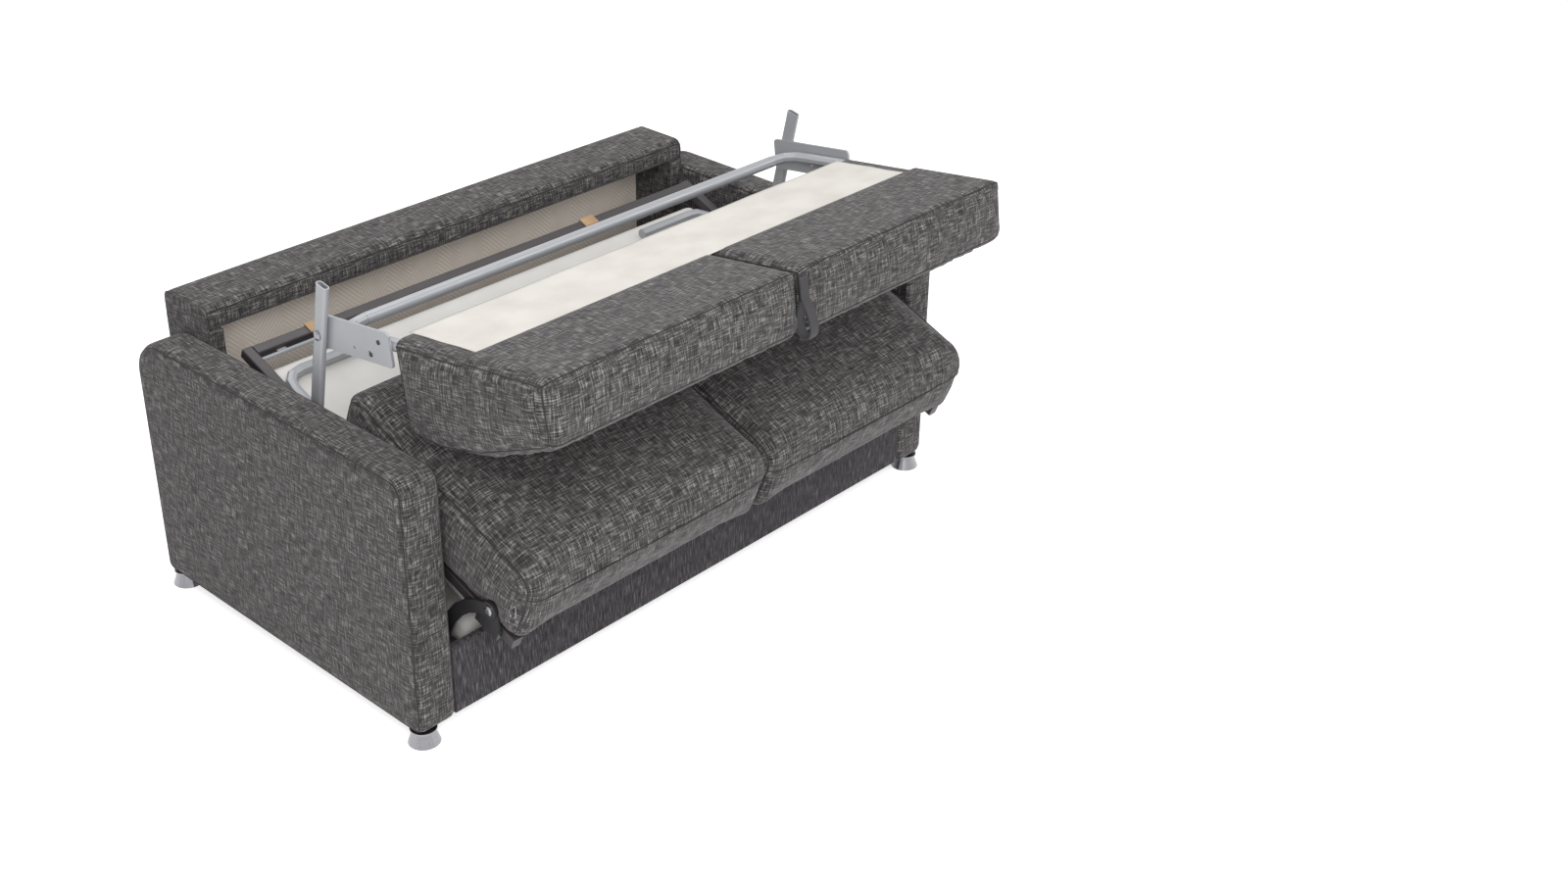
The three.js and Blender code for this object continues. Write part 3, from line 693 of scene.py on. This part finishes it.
@dataclass
class Cover:
    """A sewn cover over padding: an outline in Y and Z carried along X, closed at both ends.

    Near each end the rings draw in by round - sqrt(round^2 - d^2), which rounds the edge. Past
    it they shrink towards the outline's middle line, and bulge out by 1 - (1 - f)^2 of bulge.
    """

    name: str
    corners: list[tuple[float, float, float]]
    left: float
    right: float
    frame: LocalFrame = ROW
    round: float = 0.022
    bulge: float = 0.004
    crown: float = 0.005
    spacing: float = 0.012
    edge_rows: int = 5
    cap_rows: tuple[float, ...] = (0.1, 0.24, 0.42, 0.6, 0.78, 0.92)
    loop: np.ndarray = field(init=False, repr=False)
    rings: np.ndarray = field(init=False, repr=False)
    cap_count: int = field(init=False)

    def __post_init__(self) -> None:
        """Works out the grid of rings in the cover's own frame."""
        self.loop = rounded_loop(self.corners, self.spacing)
        low, high = self.middle_line()
        self.loop = np.roll(self.loop, -int(np.argmin(self.loop @ (high - low))), axis=0)
        normal = outward(self.loop)
        turn = np.linspace(0, math.pi / 2, self.edge_rows + 1)
        depth = self.round * (1 - np.cos(turn))
        inset = self.round * (1 - np.sin(turn))
        count = max(4, int((self.right - self.left - 2 * self.round) / self.spacing))
        middle = np.linspace(self.left + self.round, self.right - self.round, count)[1:-1]
        x = np.concatenate([self.left + depth, middle, self.right - depth[::-1]])
        draw = np.concatenate([inset, np.zeros(len(middle)), inset[::-1]])
        across = (x - (self.left + self.right) / 2) / ((self.right - self.left) / 2)
        swell = self.crown * (1 - np.abs(across) ** 3)
        flat = self.loop[None] + normal[None] * (
            (swell[:, None] * self.fullness()[None]) - draw[:, None]
        )[..., None]
        body = np.concatenate([np.broadcast_to(x[:, None, None], (*flat.shape[:2], 1)), flat], -1)
        share = np.array(self.cap_rows)
        run = high - low
        ends = []
        for ring, sign in ((body[0], -1.0), (body[-1], 1.0)):
            along = np.clip((ring[:, 1:] - low) @ run / (run @ run), 0, 1)
            target = low + along[:, None] * run
            inner = target[None] + (ring[None, :, 1:] - target[None]) * (1 - share[:, None, None])
            out = ring[0, 0] + sign * self.bulge * (1 - (1 - share) ** 2)
            ends.append(
                np.concatenate(
                    [np.broadcast_to(out[:, None, None], (*inner.shape[:2], 1)), inner], -1
                )
            )
        self.cap_count = len(share)
        self.rings = np.concatenate([ends[0][::-1], body, ends[1]])

    def fullness(self) -> np.ndarray:
        """How far each point of the outline swells: 0 at the corners and 1 between them."""
        spots = np.array([c[:2] for c in self.corners])
        gap = np.linalg.norm(self.loop[:, None] - spots[None], axis=2).min(axis=1)
        reach = 0.5 * min(np.linalg.norm(a - b) for a, b in zip(spots, np.roll(spots, 1, axis=0)))
        return np.sin(np.clip(gap / max(reach, 0.02), 0, 1) * math.pi / 2)

    def middle_line(self) -> tuple[np.ndarray, np.ndarray]:
        """The two ends of the outline's middle line, in Y and Z."""
        y, z = self.loop[:, 0], self.loop[:, 1]
        half = np.ptp(z) / 2
        span = np.ptp(y)
        margin = min(half * 0.8, span * 0.45)
        marks = []
        for at in (y.min() + margin, y.max() - margin):
            near = np.abs(y - at) < max(self.spacing * 1.5, span * 0.06)
            marks.append(np.array([at, (z[near].min() + z[near].max()) / 2]))
        return marks[0], marks[1]

    def nearest(self, y: float, z: float) -> int:
        """The number of the outline point nearest to a place."""
        return int(np.argmin(np.hypot(self.loop[:, 0] - y, self.loop[:, 1] - z)))

    def end_row(self, right: bool) -> int:
        """The ring that an end seam follows, where the rounded edge is half turned."""
        inward = self.cap_count + self.edge_rows // 2
        return len(self.rings) - 1 - inward if right else inward

    def build(self, material: Material) -> Object:
        """Makes the cover's object, with its cloth map in metres.

        Args:
            material: The cloth.

        Returns:
            The object.
        """
        rows, count = self.rings.shape[:2]
        quads = ring_faces(rows, count)
        first, last = zipped(0, count, True), zipped((rows - 1) * count, count, False)
        step = np.linalg.norm(np.roll(self.loop, -1, axis=0) - self.loop, axis=1)
        length = np.r_[0, np.cumsum(step)]
        row, place = quads // count, quads % count
        wrapped = (place[:, 1] == 0) & (place[:, 0] == count - 1)
        along = length[place]
        along[wrapped, 1] = along[wrapped, 2] = length[-1]
        side = np.stack([self.rings[row, 0, 0], along], axis=-1)
        flat = self.rings[row, place][..., 1:]
        cap = (row.min(axis=1) < self.cap_count) | (row.max(axis=1) >= rows - self.cap_count)
        cloth = np.where(cap[:, None, None], flat, side).reshape(-1, 2)
        flat = self.rings.reshape(-1, 3)[:, 1:]
        ends = np.concatenate([flat[face] for face in [*first, *last]])
        points = self.frame.to_row(self.rings.reshape(-1, 3))
        return new_object(
            self.name,
            points,
            [*quads.tolist(), *first, *last],
            np.concatenate([cloth, ends]),
            material,
        )


def coordinates(obj: Object) -> np.ndarray:
    """An object's vertices as an n by 3 array."""
    found = np.empty(len(obj.data.vertices) * 3, np.float32)
    obj.data.vertices.foreach_get("co", found)
    return found.reshape(-1, 3).astype(float)


# The cloth simulation that swells a cover, and its last frame
STUFFING = {
    "quality": 5,
    "mass": 0.3,
    "tension_stiffness": 20,
    "compression_stiffness": 12,
    "shear_stiffness": 6,
    "bending_stiffness": 0.4,
    "use_pressure": True,
    "shrink_min": -0.018,
    "vertex_group_mass": "seam",
}
STUFFED_FRAME = 18


def inflate(obj: Object, held: np.ndarray, pressure: float, most: float) -> None:
    """Swells a cover with the cloth simulation, held along its seams.

    The simulated points are read back, their moves are cut to the most allowed, and the Cloth
    modifier is removed.

    Args:
        obj: The cover.
        held: The numbers of the vertices on its seams.
        pressure: The air pressure inside.
        most: How far a point may move, in metres.
    """
    rest = coordinates(obj)
    seam = obj.vertex_groups.new(name="seam")
    seam.add(held.tolist(), 1.0, "REPLACE")
    cloth = obj.modifiers.new("stuffing", "CLOTH")
    for name, value in STUFFING.items():
        setattr(cloth.settings, name, value)
    cloth.settings.uniform_pressure_force = pressure
    cloth.settings.effector_weights.gravity = 0.0
    cloth.point_cache.frame_start, cloth.point_cache.frame_end = 1, STUFFED_FRAME
    scene = bpy.context.scene
    for frame in range(1, STUFFED_FRAME + 1):
        scene.frame_set(frame)
    seen = obj.evaluated_get(bpy.context.evaluated_depsgraph_get())
    swollen = np.empty(len(rest) * 3, np.float32)
    seen.data.vertices.foreach_get("co", swollen)
    move = swollen.reshape(-1, 3) - rest
    far = np.linalg.norm(move, axis=1, keepdims=True)
    move *= np.minimum(1.0, most / np.maximum(far, 1e-9))
    obj.modifiers.remove(cloth)
    obj.vertex_groups.remove(seam)
    obj.data.vertices.foreach_set("co", (rest + move).astype(np.float32).ravel())
    obj.data.update()
    scene.frame_set(1)


def seam_lines(
    cover: Cover,
    obj: Object,
    marks: list[tuple[float, float]],
    thread: Material,
    radius: float = 0.0014,
) -> tuple[Object, np.ndarray]:
    """Sews cords into a cover: round both ends, and along X at the outline's marks.

    Args:
        cover: The cover's grid.
        obj: Its object, whose present vertices the seams follow.
        marks: Places on the outline, in the cover's own Y and Z.
        thread: The seams' material.
        radius: The seam's radius.

    Returns:
        The seams as one object, and the cover's vertex numbers that they follow.
    """
    rows, count = cover.rings.shape[:2]
    number = np.arange(rows * count).reshape(rows, count)
    lines = [(number[cover.end_row(right)], True) for right in (False, True)]
    inner = slice(cover.end_row(False), cover.end_row(True) + 1)
    lines += [(number[inner, cover.nearest(y, z)], False) for y, z in marks]
    where = coordinates(obj)
    points, faces, start = [], [], 0
    for line, closed in lines:
        verts, quads = tube(where[line], radius, 6, closed)
        points.append(verts)
        faces += [[v + start for v in face] for face in quads]
        start += len(verts)
    made = new_object(f"{cover.name}_seams", np.concatenate(points), faces, None, thread)
    return made, np.concatenate([line for line, _ in lines])


def smooth(obj: Object, levels: int = 1) -> None:
    """Adds one live subdivision surface with equal view and render levels."""
    made = obj.modifiers.new("smooth", "SUBSURF")
    made.levels = made.render_levels = levels


def belong(obj: Object, body: str, slot: str, *nodes: str) -> Object:
    """Lets a piece ride on a body and stand for the nodes it replaces."""
    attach(obj, body)
    if nodes:
        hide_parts(*nodes)
    LOG.info("made %s on %s", obj.name, body)
    return obj


def upholster(
    cover: Cover,
    finishes: Finishes,
    body: str,
    marks: list[tuple[float, float]],
    node: str,
    pressure: float = 3.0,
    most: float = 0.008,
    squash: dict | None = None,
    flat: float | None = None,
) -> Object:
    """Builds one stuffed cover with its seams, swells it and seats it on its body.

    Args:
        cover: The cover.
        finishes: The finishes.
        body: The body that it rides on.
        marks: Where its long seams run, in its own Y and Z.
        node: The CAD node that it replaces.
        pressure: The air pressure of the simulation, or 0 for none.
        most: How far the simulation may move a point.
        flat: Points whose Z is above this, in the cover's frame, are held against a board.

    Returns:
        The cover's object.
    """
    made = cover.build(finishes["weave"])
    seams, held = seam_lines(cover, made, marks, finishes["seam"])
    if flat is not None:
        board = np.flatnonzero(cover.rings.reshape(-1, 3)[:, 2] > flat)
        held = np.union1d(held, board)
    if pressure:
        inflate(made, held, pressure, most)
    belong(made, body, "charcoal_weave", node)
    belong(seams, body, "charcoal_weave")
    if squash:
        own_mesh(made)
        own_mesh(seams)
    else:
        smooth(made)
    return made


# The sofa's sub-assemblies


@dataclass
class FixedShell:
    """Arms and fixed back: padded boards in woven covers."""

    finishes: Finishes
    arm_inside: float = 0.722
    arm_outside: float = 0.820
    arm_half_depth: float = 0.460
    arm_bottom: float = 0.037
    arm_top: float = 0.640
    rail: tuple[float, float, float, float] = (0.313, 0.474, 0.6563, 0.712)
    rail_half: float = 0.7215
    panel_low: float = 0.30
    panel_inset: float = 0.001
    panel_proud: float = 0.0004
    panel_depth: float = 0.003

    def build_arms(self) -> None:
        """Builds both arms, with a seam round each end."""
        half, low, top = self.arm_half_depth, self.arm_bottom, self.arm_top
        corners = rectangle(-half, half, low, top, (0.02, 0.02, 0.092, 0.036))
        for side, word in SIDES:
            ends = sorted((side * self.arm_inside, side * self.arm_outside))
            cover = Cover(
                f"arm_cover_{word}", corners, *ends, round=0.018, bulge=0.002, crown=0.001
            )
            upholster(cover, self.finishes, "base", [], f"arm_{word}", pressure=0.0)

    def build_top_rail(self) -> None:
        """Builds the padded rail along the top of the fixed back."""
        front, rear, low, top = self.rail
        corners = rectangle(front, rear, low, top, (0.01, 0.01, 0.018, 0.02))
        cover = Cover(
            "top_rail_cover",
            corners,
            -self.rail_half,
            self.rail_half,
            round=0.01,
            bulge=0.0,
            crown=0.002,
            edge_rows=4,
        )
        upholster(cover, self.finishes, "base", [(front, top)], "back_top_rail", pressure=0.0)
        self.build_end_panels()

    def build_end_panels(self) -> None:
        """Builds the thin padded panels that close the fixed back's ends in one face."""
        front, rear, _, top = self.rail
        radii = (0.006, 0.006, 0.018, 0.020)
        corners = rectangle(front, rear, self.panel_low, top - self.panel_inset, radii)
        outer, inner = self.rail_half + self.panel_proud, self.rail_half - self.panel_depth
        for side, word in SIDES:
            ends = sorted((side * outer, side * inner))
            cover = Cover(
                f"back_end_panel_{word}",
                corners,
                *ends,
                round=0.0014,
                bulge=0.0,
                crown=0.0,
                edge_rows=2,
            )
            made = cover.build(self.finishes["weave"])
            belong(made, "base", "charcoal_weave")


@dataclass
class SeatPad:
    """The two seat cushions, in the seat's own frame: front, rear, bottom and top."""

    finishes: Finishes
    front: float = -0.080
    rear: float = 0.522
    bottom: float = -0.0405
    top: float = 0.146
    band: float = 0.062
    rear_seam: float = 0.030
    half_width: float = UNIT_HALF_WIDTH
    gap: float = CUSHION_GAP

    def build(self) -> None:
        """Builds both cushions, with seams at the top and bottom of the front band."""
        radii = (0.034, 0.026, 0.040, 0.058)
        corners = rectangle(self.front, self.rear, self.bottom, self.top, radii)
        for side, word in SIDES:
            ends = sorted((side * self.half_width, side * self.gap))
            cover = Cover(
                f"seat_cushion_cover_{word}", corners, *ends, SEAT, round=0.034, crown=0.006
            )
            marks = [(self.front, self.top - self.band), (self.rear, self.top - self.rear_seam)]
            upholster(cover, self.finishes, "seat_unit", marks, f"seat_cushion_{word}")


@dataclass
class BackPad:
    """The two back cushions with the panel that they are sewn round, in the back's own frame.

    Y runs from the free edge towards the tube, and Z out of the rear face. front_edge is how
    deep the free edge goes, and backing_half half the width of the backing cloth."""

    finishes: Finishes
    free_edge: float = -0.638
    lower_end: float = -0.190
    flange: float = -0.400
    rear_face: float = 0.0245
    panel_face: float = 0.0170
    front_edge: float = -0.114
    backing_half: float = 0.640
    pinned: float = 0.006
    half_width: float = UNIT_HALF_WIDTH
    gap: float = CUSHION_GAP

    def build(self) -> None:
        """Builds both cushions, the wrapped edges and the pale backing between them."""
        corners = [
            (self.free_edge, self.front_edge, 0.034),
            (-0.423, -0.178, 0.060),
            (-0.300, -0.195, 0.060),
            (self.lower_end, -0.185, 0.030),
            (self.lower_end, self.panel_face, 0.006),
            (self.flange + 0.004, self.panel_face, 0.0005),
            (self.flange, self.rear_face, 0.003),
            (self.free_edge, self.rear_face, 0.012),
        ]
        axis = BACK.to_row(np.array([0.0, 0.0, 1.0])) - BACK.to_row(np.zeros(3))
        anchor = BACK.to_row(np.array([0.0, -0.4, -0.0135]))
        squash = {
            "joint": "back_tilt",
            "axis": tuple(axis.tolist()),
            "anchor": tuple(anchor.tolist()),
            "keep": 0.34,
        }
        for side, word in SIDES:
            ends = sorted((side * self.half_width, side * self.gap))
            cover = Cover(
                f"back_cushion_cover_{word}",
                corners,
                *ends,
                BACK,
                round=0.028,
                bulge=0.006,
                crown=0.0,
                spacing=0.010,
            )
            marks = [(self.free_edge, self.rear_face), (self.free_edge, self.front_edge)]
            upholster(
                cover,
                self.finishes,
                "back_unit",
                marks,
                f"back_cushion_{word}",
                most=0.006,
                squash=squash,
                flat=self.panel_face - self.pinned,
            )
        self.build_backing()

    def build_backing(self) -> None:
        """The pale backing cloth: a thin sheet whose free edge tucks under the flange."""
        across = np.linspace(-self.backing_half, self.backing_half, 161)
        along = np.linspace(self.flange + 0.006, self.lower_end + 0.003, 22)
        x, y = np.meshgrid(across, along, indexing="ij")
        z = self.panel_face + 0.0016 + 0.0006 * np.sin(x * 21) * np.sin(y * 60)
        points = BACK.to_row(np.stack([x, y, z], axis=-1).reshape(-1, 3))
        rows, count = x.shape
        r, k = np.meshgrid(np.arange(rows - 1), np.arange(count - 1), indexing="ij")
        quads = np.stack(
            [r * count + k, (r + 1) * count + k, (r + 1) * count + k + 1, r * count + k + 1], -1
        ).reshape(-1, 4)
        cloth = np.stack([x.ravel(), y.ravel()], axis=-1)[quads.ravel()]
        made = new_object("backing_cloth", points, quads.tolist(), cloth, self.finishes["backing"])
        thick = made.modifiers.new("thickness", "SOLIDIFY")
        thick.thickness = 0.001
        thick.offset = -1
        belong(made, "back_unit", "backing_cloth", "back_panel")


@dataclass
class BedMattress:
    """One mattress section: a ticking cover with rounded edges."""

    finishes: Finishes
    name: str
    node: str
    body: str
    frame: LocalFrame
    front: float
    rear: float
    bottom: float
    top: float
    half_width: float = 0.655
    edge: float = 0.017

    def build(self) -> None:
        """Builds the section lying flat on its frame."""
        corners = rectangle(self.front, self.rear, self.bottom, self.top, (self.edge,) * 4)
        cover = Cover(
            self.name,
            corners,
            -self.half_width,
            self.half_width,
            self.frame,
            round=0.022,
            bulge=0.001,
            crown=0.0,
            spacing=0.016,
        )
        made = cover.build(self.finishes["ticking"])
        belong(made, self.body, "mattress_ticking", self.node)
        smooth(made)


@dataclass
class PullStrap:
    """A webbing strap sewn to the free edge, with a loop at its lower end."""

    finishes: Finishes
    width: float = 0.024
    thick: float = 0.0035
    edge: float = -0.6485
    top: float = 0.010
    drop: float = 0.046
    loop_long: float = 0.086
    loop_wide: float = 0.032

    def build(self) -> None:
        """A ribbon along a path: down the edge, round a drop-shaped loop and back up."""
        down = np.linspace(0, 1, 12)[:, None] * np.array([0.0, -self.drop]) + np.array(
            [self.edge, self.top]
        )
        turn = np.linspace(0, 2 * math.pi, 40)[1:]
        share = (1 - np.cos(turn)) / 2
        loop = np.stack(
            [
                self.edge - np.sin(turn) * self.loop_wide * np.sqrt(share) * 0.8,
                self.top - self.drop - share * self.loop_long,
            ],
            axis=-1,
        )
        line = np.concatenate([down, loop])
        along = np.gradient(line, axis=0)
        along /= np.linalg.norm(along, axis=1, keepdims=True)
        normal = np.stack([-along[:, 1], along[:, 0]], axis=-1)
        half = self.thick / 2
        corners = np.array([[-0.5, -1], [0.5, -1], [0.5, 1], [-0.5, 1]])
        x = corners[:, 0] * self.width
        flat = line[:, None] + normal[:, None] * (corners[:, 1] * half)[None, :, None]
        points = np.concatenate(
            [np.broadcast_to(x[None, :, None], (*flat.shape[:2], 1)), flat], axis=-1
        )
        rows = len(line)
        faces = ring_faces(rows, 4)
        cloth = np.stack([(faces % 4) * self.width, (faces // 4) * 0.004], axis=-1).reshape(-1, 2)
        ends = [[3, 2, 1, 0], [4 * rows - 4, 4 * rows - 3, 4 * rows - 2, 4 * rows - 1]]
        cloth = np.concatenate([cloth, np.zeros((8, 2))])
        made = new_object(
            "pull_loop",
            BACK.to_row(points.reshape(-1, 3)),
            [*faces.tolist(), *ends],
            cloth,
            self.finishes["tape"],
            crease=40,
        )
        belong(made, "back_unit", "dark_cloth", "pull_strap")


@dataclass
class Fastenings:
    """Small details: two bolts on each back plate, and a zip pull."""

    finishes: Finishes
    bolt_radius: float = 0.0052
    bolt_height: float = 0.0035
    bolt_places: tuple[tuple[float, float], ...] = ((-0.118, -0.026), (-0.150, 0.006))
    zip_at: tuple[float, float, float] = (-0.6935, -0.050, 0.044)
    zip_half: tuple[float, float] = (0.005, 0.017)
    wire: float = 0.0012

    def build_bolt(self, name: str, at: np.ndarray, side: float, body: str) -> None:
        """A domed bolt head: its radius falls as sqrt(1 - h^4) of its height.

        Args:
            name: The piece's name.
            at: The middle of its foot.
            side: -1 where it points along -X, or 1 along X.
            body: The body that it rides on.
        """
        share = np.array([0.0, 0.35, 0.65, 0.85, 0.96])
        radius = self.bolt_radius * np.sqrt(1 - share**4)
        rows, sides = len(share), 16
        turn = np.linspace(0, 2 * math.pi, sides, endpoint=False) * -side
        x = at[0] + side * (self.bolt_height * share - 0.0008)
        ring = np.stack([np.cos(turn), np.sin(turn)], axis=-1)
        flat = at[None, None, 1:] + radius[:, None, None] * ring[None]
        points = np.concatenate([np.broadcast_to(x[:, None, None], (rows, sides, 1)), flat], -1)
        faces = ring_faces(rows, sides)[:, ::-1].tolist()
        ends = [list(range(sides)), list(range((rows - 1) * sides, rows * sides))[::-1]]
        made = new_object(
            name, points.reshape(-1, 3), [*faces, *ends], None, self.finishes["black"], 50
        )
        belong(made, body, "black_paint")

    def build_bolts(self) -> None:
        """Two bolts on the outside of each back plate."""
        for side, word in SIDES:
            for number, (y, z) in enumerate(self.bolt_places):
                at = BACK.to_row(np.array([side * UNIT_HALF_WIDTH, y, z]))
                self.build_bolt(f"plate_bolt_{word}_{number + 1}", at, side, "back_unit")

    def build_zip(self) -> None:
        """The zip's pull on the left seat cushion: a slim drop of bent wire."""
        turn = np.linspace(0, 2 * math.pi, 25)[:-1]
        x, y, z = self.zip_at
        wide, long = self.zip_half
        y = y + wide * np.sin(turn) * (1.4 - np.cos(turn))
        z = z + long * np.cos(turn)
        path = SEAT.to_row(np.stack([np.full(len(turn), x), y, z], axis=-1))
        points, faces = tube(path, self.wire, 6, True)
        made = new_object("zip_pull", points, faces, None, self.finishes["steel"])
        belong(made, "seat_unit", "bright_steel")

    def build(self) -> None:
        """Builds them all."""
        self.build_bolts()
        self.build_zip()


def dress_frame(nodes: dict[str, Object], finishes: Finishes) -> None:
    """Gives every CAD node that stays its finish.

    Args:
        nodes: The frame's nodes by name.
        finishes: The finishes.
    """
    choice = {key: finishes[kind] for kind, keys in NODE_FINISH.items() for key in keys}
    for name, node in nodes.items():
        found = [key for key in choice if name.startswith(key)]
        material = choice[max(found, key=len)] if found else finishes["board_weave"]
        node.data.materials.clear()
        node.data.materials.append(material)


def seen_rays(tree: NodeTree) -> NodeSocket:
    """Is 1 for the rays that bring the camera its view: straight, by a mirror or through glass."""
    rays = add_node(tree, "LightPath").outputs
    seen = rays["Is Camera Ray"]
    for word in ("Is Glossy Ray", "Is Transmission Ray"):
        seen = add_node(tree, "Math", {"operation": "MAXIMUM"}, {0: seen, 1: rays[word]}).outputs[0]
    return seen


@dataclass
class Studio:
    """The camera at the photograph's place, soft lights, a pale floor and a white world."""

    camera_at: tuple[float, float, float] = (-2.7014, -3.0796, 2.543)
    yaw: float = 0.85
    pitch: float = 0.5164
    roll: float = 0.0247
    lens: float = 44.59
    sensor: float = 36.0
    far: float = 60.0
    aim: tuple[float, float, float] = (0.0, -0.1, 0.4)
    floor_tone: float = 0.86
    floor_glow: float = 0.62

    def build_camera(self) -> None:
        """Points the camera: forward from yaw and pitch, then rolled about that line."""
        cy, sy = math.cos(self.yaw), math.sin(self.yaw)
        cp, sp = math.cos(self.pitch), math.sin(self.pitch)
        forward = Vector((sy * cp, cy * cp, -sp))
        right = Vector((cy, -sy, 0.0))
        up = right.cross(forward)
        c, s = math.cos(self.roll), math.sin(self.roll)
        x, y = right * c + up * s, up * c - right * s
        data = bpy.data.cameras.new("camera")
        data.lens = self.lens
        data.sensor_width = self.sensor
        data.clip_end = self.far
        camera = bpy.data.objects.new("camera", data)
        matrix = Matrix((x, y, -forward)).transposed().to_4x4()
        matrix.translation = Vector(self.camera_at)
        camera.matrix_world = matrix
        bpy.context.scene.collection.objects.link(camera)
        bpy.context.scene.camera = camera

    def add_light(
        self, name: str, at: tuple[float, float, float], size: float, power: float
    ) -> None:
        """Adds one square softbox that faces the sofa.

        Args:
            name: Its name.
            at: Its place.
            size: Its side in metres.
            power: Its power in watts.
        """
        data = bpy.data.lights.new(name, "AREA")
        data.size = size
        data.energy = power
        light = bpy.data.objects.new(name, data)
        light.location = at
        toward = Vector(self.aim) - Vector(at)
        light.rotation_euler = toward.to_track_quat("-Z", "Y").to_euler()
        bpy.context.scene.collection.objects.link(light)

    def build_lights(self) -> None:
        """Builds the softboxes and a world that the camera sees as white."""
        self.add_light("key_softbox", (-2.3, -2.9, 2.9), 2.4, 120.0)
        self.add_light("fill_softbox", (2.8, -2.8, 2.2), 3.0, 50.0)
        self.add_light("top_softbox", (0.3, 1.2, 3.6), 3.0, 42.0)
        world = bpy.data.worlds.new("studio")
        bpy.context.scene.world = world
        world.use_nodes = True
        tree = world.node_tree
        tree.nodes.clear()
        seen = seen_rays(tree)
        strength = add_node(
            tree, "MapRange", None, {0: seen, 1: 0.0, 2: 1.0, 3: 0.5, 4: 1.0}
        ).outputs[0]
        sky = add_node(tree, "Background", None, {0: (1.0, 1.0, 1.0, 1.0), 1: strength})
        add_node(tree, "OutputWorld", None, {0: sky.outputs[0]})

    def build_floor(self) -> None:
        """Builds the floor: white where the camera sees it, with a soft shadow."""
        mesh = bpy.data.meshes.new("floor")
        reach = 30.0
        spots = [(-reach, -reach, 0), (reach, -reach, 0), (reach, reach, 0), (-reach, reach, 0)]
        mesh.from_pydata(spots, [], [(0, 1, 2, 3)])
        floor = bpy.data.objects.new("floor", mesh)
        bpy.context.scene.collection.objects.link(floor)
        material, tree, shader = blank("white_sweep")
        looks = {"Base Color": (*(self.floor_tone,) * 3, 1.0), "Roughness": 0.9}
        feed(tree, shader, looks)
        seen = seen_rays(tree)
        glow = add_node(tree, "Emission", None, {0: (1, 1, 1, 1), 1: self.floor_glow})
        both = add_node(tree, "AddShader", None, {0: shader.outputs[0], 1: glow.outputs[0]})
        mix = add_node(tree, "MixShader", None, {0: seen, 1: shader.outputs[0], 2: both.outputs[0]})
        output = next(n for n in tree.nodes if n.bl_idname == "ShaderNodeOutputMaterial")
        tree.links.new(mix.outputs[0], output.inputs[0])
        mesh.materials.append(material)

    def build(self) -> None:
        """Builds the whole studio."""
        self.build_camera()
        self.build_lights()
        self.build_floor()
        bpy.context.scene.view_settings.view_transform = "Standard"


def main() -> None:
    """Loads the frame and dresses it."""
    logging.basicConfig(level=logging.INFO, format="%(name)s %(message)s")
    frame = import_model()
    Studio().build()
    finishes = make_finishes()
    dress_frame(frame["nodes"], finishes)
    shell = FixedShell(finishes)
    shell.build_arms()
    shell.build_top_rail()
    SeatPad(finishes).build()
    BackPad(finishes).build()
    under = -SEAT_FRAME_DROP - BED_RAIL - CLEARANCE
    bed = HEAD_FRAME_BOTTOM + BED_RAIL + CLEARANCE
    for name, body, place, front, rear, low, top in (
        ("flip_mattress", "seat_unit", SEAT, 0.010, 0.806, under - MATTRESS_THICKNESS, under),
        ("head_mattress", "head_section", ROW, -0.414, 0.424, bed, bed + MATTRESS_THICKNESS),
    ):
        BedMattress(finishes, f"{name}_cover", name, body, place, front, rear, low, top).build()
    PullStrap(finishes).build()
    Fastenings(finishes).build()


if __name__ == "__main__":
    main()
